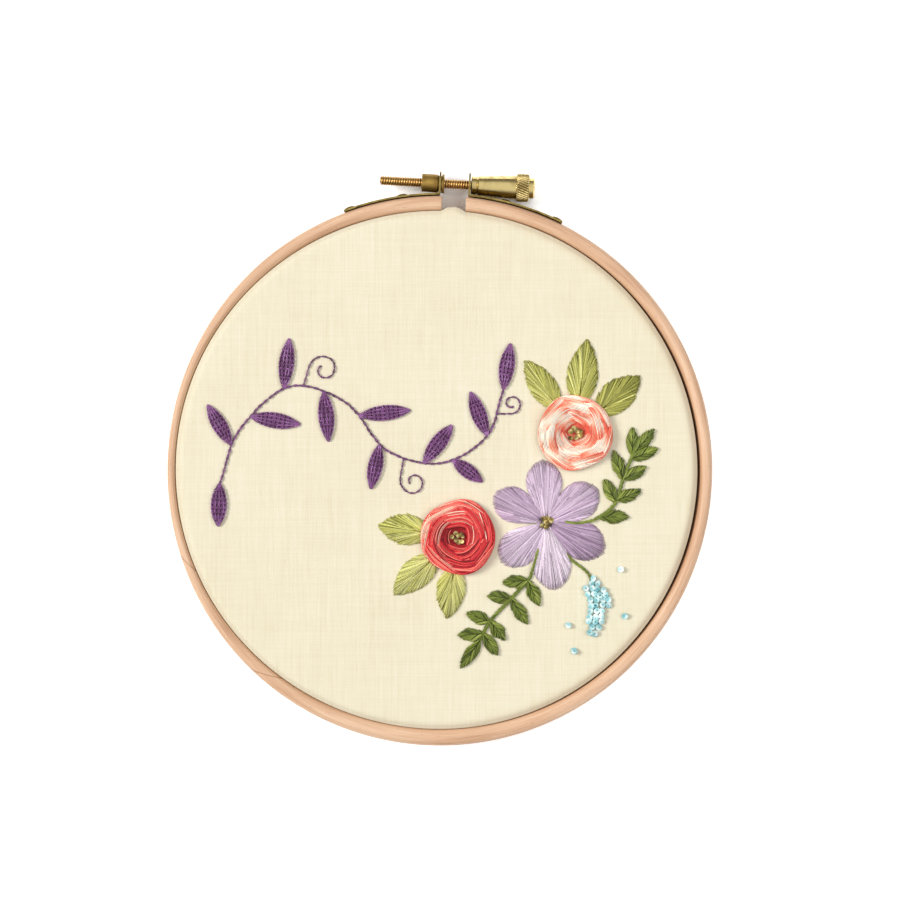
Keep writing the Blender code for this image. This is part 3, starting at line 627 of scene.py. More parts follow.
class ThreadWork:
    """Threads laid one by one and gathered into one mesh of fine tubes."""

    def __init__(self, rings: int = 8, sides: int = 6, flatness: float = 0.85) -> None:
        """Start an empty piece of work.

        Args:
            rings: points along each thread.
            sides: faces round each thread.
            flatness: height of a thread over its width.
        """
        self.rings, self.sides, self.flatness = rings, sides, flatness
        self.paths: list[np.ndarray] = []
        self.widths: list[np.ndarray] = []
        self.tones: list[np.ndarray] = []
        self.dyes: list[np.ndarray] = []

    def lay(self, path: np.ndarray, width: float, tone: float = 0.5,
            dye: float | np.ndarray = 0.5, ends: float = 0.5) -> None:
        """Add one thread.

        Args:
            path: its centre line, as (rings, 3).
            width: how wide it is.
            tone: how light it is, from 0 to 1.
            dye: its place in the dye, from 0 to 1, or one for each ring.
            ends: share of the width that its two ends keep.
        """
        taper = np.ones(self.rings)
        taper[0] = taper[-1] = ends
        self.paths.append(path)
        self.widths.append(width * taper)
        self.tones.append(np.full(self.rings, tone))
        self.dyes.append(np.broadcast_to(dye, (self.rings,)).astype(float))

    def _template(self) -> bpy.types.Mesh:
        """Return one straight tube: a circle drawn out ring by ring, closed at both ends.

        Returns:
            The tube, one unit from ring to ring.
        """
        bm = bmesh.new()
        bmesh.ops.create_circle(bm, segments=self.sides, radius=1.0)
        bmesh.ops.rotate(bm, verts=bm.verts, cent=(0, 0, 0),
                         matrix=Matrix(((0, 0, 1), (1, 0, 0), (0, 1, 0))))
        edges = bm.edges[:]
        for _ in range(self.rings - 1):
            grown = bmesh.ops.extrude_edge_only(bm, edges=edges)["geom"]
            fresh = {g for g in grown if isinstance(g, bmesh.types.BMVert)}
            edges = [g for g in grown if isinstance(g, bmesh.types.BMEdge)
                     and g.verts[0] in fresh and g.verts[1] in fresh]
            bmesh.ops.translate(bm, vec=(1, 0, 0), verts=list(fresh))
        bmesh.ops.holes_fill(bm, edges=bm.edges, sides=self.sides)
        bmesh.ops.recalc_face_normals(bm, faces=bm.faces)
        layer = bm.loops.layers.uv.new("UVMap")
        for face in bm.faces:
            places = [self._side(loop.vert.co) for loop in face.loops]
            wraps = max(places) - min(places) > self.sides / 2
            for loop, side in zip(face.loops, places):
                lap = self.sides if wraps and side == 0 and len(places) == 4 else 0
                loop[layer].uv = (round(loop.vert.co.x), (side + lap) / self.sides)
        mesh = bpy.data.meshes.new("thread")
        bm.to_mesh(mesh)
        bm.free()
        return mesh

    def _side(self, place: Vector) -> int:
        """Return which side of the tube a template point is on."""
        return round(math.atan2(place.z, place.y) / math.tau * self.sides) % self.sides

    def _copies(self, template: bpy.types.Mesh) -> bpy.types.Mesh:
        """Return a mesh with one copy of the template for each thread, in order.

        Args:
            template: one tube.

        Returns:
            The tubes, all in the template's place.
        """
        bm = bmesh.new()
        bm.from_mesh(template)
        sizes = (len(bm.verts), len(bm.edges), len(bm.faces))
        made = 1
        while made < len(self.paths):
            more = min(made, len(self.paths) - made)
            parts = [list(seq)[:size * more] for seq, size in zip((bm.verts, bm.edges, bm.faces), sizes)]
            bmesh.ops.duplicate(bm, geom=sum(parts, []))
            made += more
        mesh = bpy.data.meshes.new("threads")
        bm.to_mesh(mesh)
        bm.free()
        return mesh

    def _frames(self, paths: np.ndarray) -> tuple[np.ndarray, np.ndarray]:
        """Return each ring's sideways and upward directions, carried along the threads.

        Args:
            paths: the centre lines, as (threads, rings, 3).

        Returns:
            The two directions, in the same form.
        """
        ahead = np.gradient(paths, axis=1)
        ahead /= np.linalg.norm(ahead, axis=2, keepdims=True) + 1e-9
        aside = np.zeros_like(paths)
        start = np.cross((0.0, 0.0, 1.0), ahead[:, 0])
        start[np.linalg.norm(start, axis=1) < 1e-3] = (1.0, 0.0, 0.0)
        aside[:, 0] = start
        for i in range(paths.shape[1]):
            carried = aside[:, max(i - 1, 0)]
            carried = carried - np.sum(carried * ahead[:, i], axis=1, keepdims=True) * ahead[:, i]
            aside[:, i] = carried / (np.linalg.norm(carried, axis=1, keepdims=True) + 1e-9)
        return aside, np.cross(ahead, aside)

    def mesh(self) -> bpy.types.Mesh:
        """Return all the threads as one mesh with its lengths, tones and dyes.

        Returns:
            The mesh.
        """
        template = self._template()
        count, points = len(self.paths), len(template.vertices)
        rings = np.array([round(v.co.x) for v in template.vertices])
        sides = np.array([self._side(v.co) for v in template.vertices])
        paths = np.stack(self.paths)
        aside, up = self._frames(paths)
        turn = sides / self.sides * math.tau
        half = np.stack(self.widths)[:, rings, None] / 2
        spots = paths[:, rings] + half * (np.cos(turn)[:, None] * aside[:, rings]
                                          + self.flatness * np.sin(turn)[:, None] * up[:, rings])
        mesh = self._copies(template)
        mesh.vertices.foreach_set("co", spots.reshape(-1).astype(np.float32))
        for name, values in (("tone", self.tones), ("dye", self.dyes)):
            held = mesh.attributes.new(name, "FLOAT", "POINT")
            held.data.foreach_set("value", np.stack(values)[:, rings].reshape(-1).astype(np.float32))
        steps = np.linalg.norm(np.diff(paths, axis=1), axis=2)
        reach = np.concatenate([np.zeros((count, 1)), np.cumsum(steps, axis=1)], axis=1)
        flat = np.zeros(len(mesh.loops) * 2, np.float32)
        mesh.uv_layers[0].uv.foreach_get("vector", flat)
        flat = flat.reshape(count, -1, 2)
        lengths = np.take_along_axis(reach, np.rint(flat[:, :, 0]).astype(int), axis=1)
        flat[:, :, 0] = lengths + np.arange(count)[:, None] * 0.37
        mesh.uv_layers[0].uv.foreach_set("vector", flat.reshape(-1))
        mesh.update()
        mesh.shade_smooth()
        bpy.data.meshes.remove(template)
        assert points * count == len(mesh.vertices)
        return mesh


def toned(mesh: bpy.types.Mesh, tone: float, dye: float) -> bpy.types.Mesh:
    """Give a padding mesh one tone and one dye, and an empty UV map.

    Args:
        mesh: the padding.
        tone: its tone, from 0 to 1.
        dye: its dye, from 0 to 1.

    Returns:
        The same mesh.
    """
    for name, value in (("tone", tone), ("dye", dye)):
        held = mesh.attributes.new(name, "FLOAT", "POINT")
        held.data.foreach_set("value", np.full(len(mesh.vertices), value, np.float32))
    if not mesh.uv_layers:
        mesh.uv_layers.new(name="UVMap")
    return mesh


def mound(outline: list[Vector], base: float, levels: tuple, pivot: Vector) -> bpy.types.Mesh:
    """Raise an outline into a crown, as padding under the threads.

    Args:
        outline: flat points round it.
        base: height of its foot.
        levels: (share of the outline, height above the foot) from the foot up.
        pivot: the point that it shrinks towards.

    Returns:
        The closed mesh.
    """
    bm = bmesh.new()
    top = bm.faces.new([bm.verts.new((p.x, p.y, base)) for p in outline])
    space = Matrix.Translation((-pivot.x, -pivot.y, 0))
    share, height = 1.0, 0.0
    for number, (next_share, next_height) in enumerate(levels):
        old = [top] if number else []
        raised = bmesh.ops.extrude_face_region(bm, geom=[top])["geom"]
        top = next(g for g in raised if isinstance(g, bmesh.types.BMFace))
        bmesh.ops.delete(bm, geom=old, context="FACES_ONLY")
        grow = next_share / share
        bmesh.ops.scale(bm, vec=(grow, grow, 1), space=space, verts=top.verts)
        bmesh.ops.translate(bm, vec=(0, 0, next_height - height), verts=top.verts)
        share, height = next_share, next_height
    return finished(bm, "padding", 180.0)


@dataclass
class StitchPath:
    """A smooth line that stitches follow, through given points."""

    points: tuple[tuple[float, float], ...]

    def __post_init__(self) -> None:
        """Work out the fine points of the curve and the length to each."""
        nodes = [np.array(p, float) for p in self.points]
        nodes = [2 * nodes[0] - nodes[1]] + nodes + [2 * nodes[-1] - nodes[-2]]
        fine = []
        for a, b, c, d in zip(nodes, nodes[1:], nodes[2:], nodes[3:]):
            for t in np.linspace(0, 1, 24, endpoint=False):
                fine.append(0.5 * (2 * b + (c - a) * t + (2 * a - 5 * b + 4 * c - d) * t * t
                                   + (3 * b - a - 3 * c + d) * t ** 3))
        self.fine = np.array(fine + [nodes[-2]])
        steps = np.linalg.norm(np.diff(self.fine, axis=0), axis=1)
        self.reach = np.concatenate([[0], np.cumsum(steps)])
        self.length = float(self.reach[-1])

    def at(self, distance: np.ndarray | float) -> np.ndarray:
        """Return the place at a distance along the line."""
        return np.stack([np.interp(distance, self.reach, self.fine[:, i]) for i in (0, 1)], axis=-1)

    def span(self, share: float) -> tuple[np.ndarray, float]:
        """Return the place and heading at a share of the spans between the given points.

        Args:
            share: the share, from 0 to 1.

        Returns:
            The place, and the heading in radians.
        """
        spot = share * (len(self.fine) - 1)
        index = min(int(spot), len(self.fine) - 2)
        step = self.fine[index + 1] - self.fine[index]
        return self.fine[index] + step * (spot - index), math.atan2(step[1], step[0])

    def heading(self, distance: np.ndarray | float) -> np.ndarray:
        """Return the angle of the line at a distance along it."""
        step = self.at(np.asarray(distance) + 0.2) - self.at(np.asarray(distance) - 0.2)
        return np.arctan2(step[..., 1], step[..., 0])

    def beside(self, distance: np.ndarray, aside: np.ndarray | float) -> np.ndarray:
        """Return places to the left of the line.

        Args:
            distance: distances along the line.
            aside: how far to the left.

        Returns:
            The flat places.
        """
        turn = self.heading(distance)
        away = np.stack([-np.sin(turn), np.cos(turn)], axis=-1)
        return self.at(distance) + away * np.asarray(aside)[..., None]


@dataclass
class LeafShape:
    """A leaf or a petal on its own axis.

    Attributes:
        base: where its axis starts.
        heading: the way it points, in radians.
        length: length of the axis.
        width: its widest.
        first: share of a whole leaf that is cut off before the base.
        blunt: power that rounds the sides.
        bulge: power that moves the widest place along it.
        height: height of its crown over the cloth.
    """

    base: tuple[float, float]
    heading: float
    length: float
    width: float
    first: float = 0.0
    blunt: float = 0.85
    bulge: float = 1.0
    height: float = 1.1

    def half(self, share: np.ndarray | float) -> np.ndarray:
        """Return half of the width at a share of the length."""
        place = self.first + (1 - self.first) * np.clip(share, 0, 1)
        return self.width / 2 * np.sin(math.pi * place ** self.bulge).clip(0) ** self.blunt

    def spot(self, share: np.ndarray | float, aside: np.ndarray | float) -> np.ndarray:
        """Return the flat place of a point given along and across the axis.

        Args:
            share: its share of the length.
            aside: how far it is to the left of the axis.

        Returns:
            The place, or places, as (..., 2).
        """
        ahead = np.asarray(share) * self.length
        c, s = math.cos(self.heading), math.sin(self.heading)
        return np.stack([self.base[0] + ahead * c - aside * s,
                         self.base[1] + ahead * s + aside * c], axis=-1)

    def crown(self, share: np.ndarray, aside: np.ndarray) -> np.ndarray:
        """Return the padded height over the cloth at a point.

        Args:
            share: its share of the length.
            aside: how far it is from the axis.

        Returns:
            The heights.
        """
        across = np.abs(aside) / (self.half(share) + 0.15)
        over = np.clip(1 - across ** 2.4, 0, 1) ** 0.6
        ends = np.clip(share / 0.08, 0, 1) ** 0.5 * np.clip((1 - share) / 0.08, 0, 1) ** 0.5
        return self.height * over * (0.35 + 0.65 * ends)

    def outline(self, steps: int = 14) -> list[Vector]:
        """Return the outline's points, once round.

        Args:
            steps: spans along each side.

        Returns:
            The points.
        """
        shares = np.linspace(0, 1, steps + 1)
        halves = np.maximum(self.half(shares), 0.05)
        right = self.spot(shares, -halves)
        left = self.spot(shares[::-1], halves[::-1])
        return [Vector(p) for p in np.concatenate([right, left])]

    def padding(self, tone: float, dye: float, drop: float = 0.35) -> bpy.types.Mesh:
        """Return the padding that fills it below its threads; the darker tone and dye that it is given
        paint the shade in the gaps between them.

        Args:
            tone: the padding's tone.
            dye: the padding's dye.
            drop: how far it stays under the crown.

        Returns:
            The padding's mesh.
        """
        outline = self.outline()
        pivot = sum(outline, Vector((0, 0))) / len(outline)
        small = [pivot + (p - pivot) * 0.95 for p in outline]
        top = self.height - drop
        crown = mound(small, CLOTH_TOP - 0.1, ((1.0, 0.2), (0.86, top * 0.75), (0.5, top)), pivot)
        return toned(crown, tone, dye)


class Stitcher:
    """Hands that lay the kinds of stitches, with the small unevenness of hand work."""

    bundle = 3
    sunk = CLOTH_TOP - 0.25
    stem_pitch, stem_run = 1.35, 3.3
    back_run = 2.7
    chain_pitch, chain_run = 1.35, 2.1
    knot_turns = 2.35

    def __init__(self, seed: int) -> None:
        """Seed the unevenness."""
        self.dice = np.random.default_rng(seed)

    def fishbone(self, work: ThreadWork, leaf: LeafShape, count: int, slant: float,
                 width: float, dye: float, fan: float = 0.0) -> None:
        """Fill both halves of a leaf with threads that slant from its vein to its edge.

        Args:
            work: the thread work that takes them.
            leaf: the leaf's shape.
            count: threads in each half.
            slant: share of the length that a thread runs forward.
            width: width of a thread.
            dye: place in the dye.
            fan: how much the upper half's dye is lifted.
        """
        t = np.linspace(0, 1, work.rings)
        ragged = dyed = 0.0
        for side in (1, -1):
            for number in range(count):
                if number % self.bundle == 0:
                    ragged = self.dice.uniform(-0.25, 0.38)
                    dyed = self.dice.normal(0, 0.13)
                edge = (number + 0.7 + self.dice.uniform(-0.25, 0.25)) / count
                edge = min(edge, 1.0)
                vein = max(edge - slant * self.dice.uniform(0.7, 1.15), 0.0)
                rim = leaf.half(edge) + ragged + self.dice.uniform(-0.06, 0.06)
                root = min(0.12 + leaf.half(0.0) * max(0.0, 1 - edge / slant) * 0.8, rim)
                share = vein + (edge - vein) * t
                aside = side * (root + (rim - root) * t ** 1.15)
                rise = leaf.crown(share, aside)
                dip = np.clip(t / 0.16, 0, 1) ** 0.6
                height = CLOTH_TOP + 0.12 + rise * (0.55 + 0.45 * dip)
                height[-1] = self.sunk
                height += self.dice.uniform(-0.07, 0.07)
                path = np.column_stack([leaf.spot(share, aside), height])
                tone = self.dice.normal(0.5, 0.24)
                work.lay(path, width * self.dice.uniform(0.9, 1.12), float(np.clip(tone, 0, 1)),
                         float(np.clip(dye + fan * side + dyed + self.dice.normal(0, 0.08), 0, 1)))

    def rays(self, work: ThreadWork, leaf: LeafShape, count: int, width: float, dye: float) -> None:
        """Fill a petal with threads that spread from its narrow end to its edge.

        Args:
            work: the thread work that takes them.
            leaf: the petal's shape.
            count: threads over the whole petal.
            width: width of a thread.
            dye: place in the dye.
        """
        t = np.linspace(0, 1, work.rings)
        kinds = tuple(Reach)
        rim = np.linspace(0, 1, 200)
        edge = np.concatenate([np.column_stack([rim, leaf.half(rim)]),
                               np.column_stack([rim[::-1], -leaf.half(rim[::-1])])])
        steps = np.linalg.norm(np.diff(edge * (leaf.length, 1), axis=0), axis=1)
        reach = np.concatenate([[0], np.cumsum(steps)])
        low, high = reach[-1] * 0.10, reach[-1] * 0.90
        for number in range(count):
            spot = low + (high - low) * (number + self.dice.uniform(0.2, 0.8)) / count
            end_share = np.interp(spot, reach, edge[:, 0])
            end_aside = np.interp(spot, reach, edge[:, 1])
            kind = kinds[number % len(kinds)]
            long = self.dice.uniform(*kind.value)
            start_share = long * end_share
            squeeze = leaf.half(0.02) * 0.8 / (leaf.width / 2)
            start_aside = end_aside * (squeeze + (1 - squeeze) * start_share ** 0.9)
            over = 1.03 + self.dice.uniform(-0.014, 0.014)
            short = kind is Reach.SHORT
            far = self.dice.uniform(0.4, 0.85) if short else 1.0
            share = start_share + (end_share * over - start_share) * t * far
            aside = start_aside + (end_aside * over - start_aside) * t * far
            rise = leaf.crown(share, aside)
            dip = np.clip(t / 0.12, 0, 1) ** 0.6
            height = CLOTH_TOP + 0.12 + rise * (0.5 + 0.5 * dip)
            height[-1] = height[-1] - 0.3 if short else self.sunk
            height += self.dice.uniform(-0.06, 0.06) + 0.07 * short
            path = np.column_stack([leaf.spot(share, aside), height])
            tone = float(np.clip(self.dice.normal(0.5, 0.25), 0, 1))
            work.lay(path, width * self.dice.uniform(0.85, 1.15), tone,
                     float(np.clip(dye + self.dice.normal(0, 0.14), 0, 1)))

    def stem(self, work: ThreadWork, line: StitchPath, width: float, dye: float,
             lift: float = 0.0) -> None:
        """Lay a stem stitch: short slanting stitches that overlap like a rope.

        Args:
            work: the thread work that takes them.
            line: the line that they follow.
            width: width of the whole stem.
            dye: place in the dye.
            lift: height over the cloth.
        """
        t = np.linspace(0, 1, work.rings)
        for number in range(int(line.length / self.stem_pitch) + 1):
            start = number * self.stem_pitch - 0.6
            place = np.clip(start + self.stem_run * t, 0, line.length)
            for strand in (-1, 0, 1):
                aside = (0.5 - t) * width * 0.55 + strand * width * 0.2
                height = CLOTH_TOP + 0.05 + lift + 0.62 * np.sin(math.pi * t) ** 0.7
                height = height - 0.06 * strand * strand
                path = np.column_stack([line.beside(place, aside), height])
                work.lay(path, width * 0.4, float(self.dice.uniform(0.2, 0.8)),
                         float(np.clip(dye + self.dice.normal(0, 0.12), 0, 1)))

    def back(self, work: ThreadWork, line: StitchPath, width: float, dye: float) -> None:
        """Lay a back stitch: even stitches end to end, each of two strands.

        Args:
            work: the thread work that takes them.
            line: the line that they follow.
            width: width of a stitch.
            dye: place in the dye.
        """
        t = np.linspace(0, 1, work.rings)
        count = max(1, round(line.length / self.back_run))
        run = line.length / count
        for number in range(count):
            lean = self.dice.uniform(-0.08, 0.08)
            for strand in (-1, 1):
                place = number * run + run * (0.02 + 0.96 * t)
                twist = np.cos(math.pi * t * 1.4 + number) * strand
                aside = twist * width * 0.22 + lean
                height = CLOTH_TOP - 0.15 + 0.62 * np.sin(math.pi * t) ** 0.45
                height = height + 0.1 * np.sin(math.pi * t * 1.4 + number) * strand
                path = np.column_stack([line.beside(place, aside), height])
                work.lay(path, width * 0.56, float(self.dice.uniform(0.25, 0.8)),
                         float(np.clip(dye + self.dice.normal(0, 0.1), 0, 1)))

    def chain(self, work: ThreadWork, leaf: LeafShape, rows: tuple[float, ...], width: float,
              dye: float) -> None:
        """Fill a leaf with rows of chain stitch, each a line of linked loops.

        Args:
            work: the thread work that takes them.
            leaf: the leaf's shape.
            rows: each row's place across, as a share of the half width.
            width: width of a thread.
            dye: place in the dye.
        """
        turn = np.linspace(0.04, 0.96, work.rings) * math.tau
        run = self.chain_run
        count = int(leaf.length / self.chain_pitch)
        for row in rows:
            for number in range(count):
                start = number * self.chain_pitch
                middle = (start + run / 2) / leaf.length
                if middle > 0.99:
                    continue
                loop = max(0.32, min(0.62, float(leaf.half(middle)) * 0.42))
                ahead = (start + run * (0.5 - 0.5 * np.cos(turn))) / leaf.length
                ahead = np.clip(ahead, 0, 1.0)
                aside = row * leaf.half(ahead) + loop * np.sin(turn) * (0.55 + 0.45 * np.cos(turn / 2) ** 2)
                rise = leaf.crown(ahead, row * leaf.half(ahead))
                height = CLOTH_TOP + 0.2 + rise * 0.75 + 0.12 * np.cos(turn)
                path = np.column_stack([leaf.spot(ahead, aside), height])
                work.lay(path, width, float(np.clip(self.dice.normal(0.5, 0.2), 0, 1)),
                         float(np.clip(dye + self.dice.normal(0, 0.14), 0, 1)), 0.8)

    def knot(self, work: ThreadWork, place: tuple[float, float], base: float, radius: float,
             height: float, dye: float) -> None:
        """Lay one French knot: a thread wound twice round and pulled into its middle.

        Args:
            work: the thread work that takes it.
            place: flat place of its middle.
            base: height of its foot.
            radius: its reach.
            height: how high it stands.
            dye: place in the dye.
        """
        thick = radius * self.dice.uniform(0.72, 0.9)
        t = np.linspace(0, 1, work.rings)
        turn = self.dice.uniform(0, math.tau) + t * self.knot_turns * math.tau
        close = np.clip((t - 0.84) / 0.16, 0, 1)
        coil = (radius - thick / 2) * (1 - 0.28 * t) * (1 - 0.75 * close)
        lean = self.dice.normal(0, 0.28, 2)
        squash = self.dice.uniform(0.78, 1.0)
        flat = np.column_stack([np.cos(turn), squash * np.sin(turn)]) * coil[:, None]
        spin = self.dice.uniform(0, math.tau)
        flat = flat @ np.array(((math.cos(spin), math.sin(spin)), (-math.sin(spin), math.cos(spin))))
        rise = base + thick / 2 + (height - thick) * t ** 0.9 - 0.35 * close * height
        rise = np.maximum(rise + flat @ lean, base + thick * 0.3)
        path = np.column_stack([np.array(place) + flat + t[:, None] * lean * 0.4, rise])
        shade = dye + self.dice.normal(0, 0.12) + 0.3 * np.sin(t * 17 + self.dice.uniform(0, 6))
        work.lay(path, thick, float(self.dice.uniform(0.2, 0.9)), np.clip(shade, 0, 1))


def ring_of_knots(stitcher: Stitcher, work: ThreadWork, centre: tuple[float, float], base: float,
                  spread: float) -> None:
    """Lay a flower's eye: a raised knot with a ring of knots round it.

    Args:
        stitcher: the hands that lay it.
        work: the thread work that takes it.
        centre: flat place of its middle.
        base: height of its foot.
        spread: the ring's radius.
    """
    places = [(0.15, 0.2, 0.4)] + [(spread * math.cos(a), spread * math.sin(a), 0.0)
                                   for a in np.arange(7) * math.tau / 7 + 0.3]
    for x, y, lift in places:
        wander = stitcher.dice.normal(0, 0.24, 2)
        spot = (centre[0] + x + wander[0], centre[1] + y + wander[1])
        stitcher.knot(work, spot, base + lift, stitcher.dice.uniform(0.72, 0.98), 1.45, 0.5)


def leant(place: Vector, left: float, right: float) -> None:
    """Move a point out from the middle, as the rings sit askew: most at the face, at the sides.

    Args:
        place: the point, which is moved.
        left: how far it goes at the left of the face.
        right: how far it goes at the right.
    """
    reach = math.hypot(place.x, place.y)
    side = place.x / max(reach, 1.0)
    rise = min(max((place.z - LEAN_LOW) / (LEAN_HIGH - LEAN_LOW), 0.0), 1.0)
    shift = (right if side > 0 else left) * side * side * rise * rise * (3 - 2 * rise)
    place.xy *= 1 + shift / max(reach, 1.0)


@dataclass
class WoodenRings:
    """The split outer ring and the inner ring that carries the cloth."""

    gap: float = 7.2
    depth: float = 10.0
    edge: float = 2.0
    inner_radius: float = 76.5
    inner_depth: float = 9.4
    inner_edge: float = 1.1
    steps: int = 288
    squeeze: float = 0.5
    swell: float = 0.5

    def section(self, inner: float, outer: float, depth: float, edge: float) -> list:
        """Return a ring's section with rounded corners, outer side first."""
        return (rounded((outer - edge, depth - edge), edge, 90, 0, 6)
                + rounded((outer - edge, edge), edge, 0, -90, 6)
                + rounded((inner + edge, edge), edge, -90, -180, 6)
                + rounded((inner + edge, depth - edge), edge, 180, 90, 6))

    def outer_ring(self) -> bpy.types.Mesh:
        """Return the outer ring, sawn square at its gap and eased at the saw cuts.

        Returns:
            The ring's mesh.
        """
        section = self.section(RING_RADIUS - RING_WALL, RING_RADIUS, self.depth, self.edge)
        half = math.asin(self.gap / 2 / (RING_RADIUS - RING_WALL / 2))
        bm = spun(section, self.steps, closed=True, sweep=math.tau - 2 * half)
        bmesh.ops.rotate(bm, verts=bm.verts, cent=(0, 0, 0), matrix=Matrix.Rotation(half, 3, "Z"))
        rims = [e for e in bm.edges if e.is_boundary]
        for vert in {v for e in rims for v in e.verts}:
            vert.co.x = math.copysign(self.gap / 2, vert.co.x)
        bmesh.ops.holes_fill(bm, edges=rims, sides=len(section))
        bmesh.ops.bevel(bm, geom=rims, offset=0.22, segments=2, profile=0.5, affect="EDGES",
                        material=-1)
        for vert in bm.verts:
            reach = math.hypot(vert.co.x, vert.co.y)
            inward = (RING_RADIUS - reach) / RING_WALL
            grown = self.swell * max(-vert.co.y / reach, 0.0) ** 2
            grown -= self.squeeze * (vert.co.x / reach) ** 4
            vert.co.xy *= 1 + grown * (1 - inward) / reach
            leant(vert.co, SHIFT_LEFT * inward, GROOVE_RIGHT * inward)
        return finished(bm, "outer_ring", 50.0)

    def inner_ring(self) -> bpy.types.Mesh:
        """Return the whole inner ring.

        Returns:
            The ring's mesh.
        """
        section = self.section(self.inner_radius - RING_WALL, self.inner_radius, self.inner_depth,
                               self.inner_edge)
        bm = spun(section, self.steps, closed=True)
        for vert in bm.verts:
            leant(vert.co, SHIFT_LEFT, SHIFT_RIGHT)
        return finished(bm, "inner_ring", 50.0)

    def build(self, bench: Bench) -> bpy.types.Object:
        """Put both rings in the scene and return the inner one."""
        bench.piece("beech_outer_ring", self.outer_ring(), Beech(), ["outer_ring"])
        return bench.piece("beech_inner_ring", self.inner_ring(), Beech(joints=()), ["inner_ring"])


@dataclass
class StretchedCloth:
    """The cloth, drawn tight over the inner ring and down between the rings."""

    outer: float = 77.8
    inner: float = 76.8
    rim: float = 2.4
    under: float = 9.7
    hem: float = 1.0
    bulge: float = 1.3
    bulge_reach: float = 3.2
    steps: int = 640
    press: float = 0.2
    free: float = 71.0
    flat: float = 0.168
    pull_reach: float = 6.0
    fold_depth: float = 0.10
    slack_depth: float = 0.07
    crease_depth: float = 0.03

    def profile(self) -> list[tuple[float, float]]:
        """Return the section from the middle of the face over the rim to the middle below.

        Returns:
            The points, as (radius, height).
        """
        face = [(r, CLOTH_TOP) for r in np.linspace(0, self.outer - self.rim, 66)[:-1]]
        over = rounded((self.outer - self.rim, CLOTH_TOP - self.rim), self.rim, 90, 0, 10)
        side = [(self.outer, z) for z in np.linspace(CLOTH_TOP - self.rim, self.hem, 8)[1:]]
        fold = self.rim - (CLOTH_TOP - self.under)
        back = [(self.inner, z) for z in np.linspace(self.hem, self.under - fold, 4)[:-1]]
        turn = rounded((self.inner - fold, self.under - fold), fold, 0, 90, 5)
        below = [(r, self.under) for r in np.linspace(self.inner - fold, 0, 20)[1:]]
        return face + over + side + back + turn + below

    def ease(self, place: Vector) -> None:
        """Move one point as the pull of the rings and the stitches moves the cloth.

        Args:
            place: the point, which is moved.
        """
        reach = math.hypot(place.x, place.y)
        if reach > self.outer - 0.3:
            place.xy *= 1 + self.press / reach
        held = min(max((reach - self.free) / (self.inner - self.free), 0.0), 1.0)
        leant(place, SHIFT_LEFT * held, SHIFT_RIGHT * held)
        if place.y > 70 and abs(place.x) < self.bulge_reach and reach > self.inner - 2:
            swell = 1 - (place.x / self.bulge_reach) ** 2
            place.y += self.bulge * swell ** 0.6 * (0.92 + 0.08 * math.sin(place.x * 2.3))
        if place.z < self.under - 0.05 or reach < 1:
            return
        turn = math.atan2(place.y, place.x)
        held_edge = self.outer - self.rim
        pull = math.exp(-(held_edge - min(reach, held_edge)) / self.pull_reach)
        folds = noise.noise(Vector((math.cos(turn) * 14, math.sin(turn) * 14, 3.0)))
        slack = noise.noise(Vector((place.x / 17, place.y / 17, 7.0)))
        crease = noise.noise(Vector((place.x / 5, place.y / 5, 11.0)))
        relief = self.fold_depth * pull * folds + self.slack_depth * slack
        place.z -= self.fold_depth + relief + self.crease_depth * crease

    def build(self, bench: Bench, rests_on: bpy.types.Object) -> None:
        """Put the cloth in the scene as a stretched sheet.

        Args:
            bench: where pieces go.
            rests_on: the inner ring; not used.
        """
        bm = spun(self.profile(), self.steps)
        for vert in bm.verts:
            self.ease(vert.co)
        piece = bench.piece("cotton_cloth", finished(bm, "cloth", 60.0), Cotton(), ["cloth"])


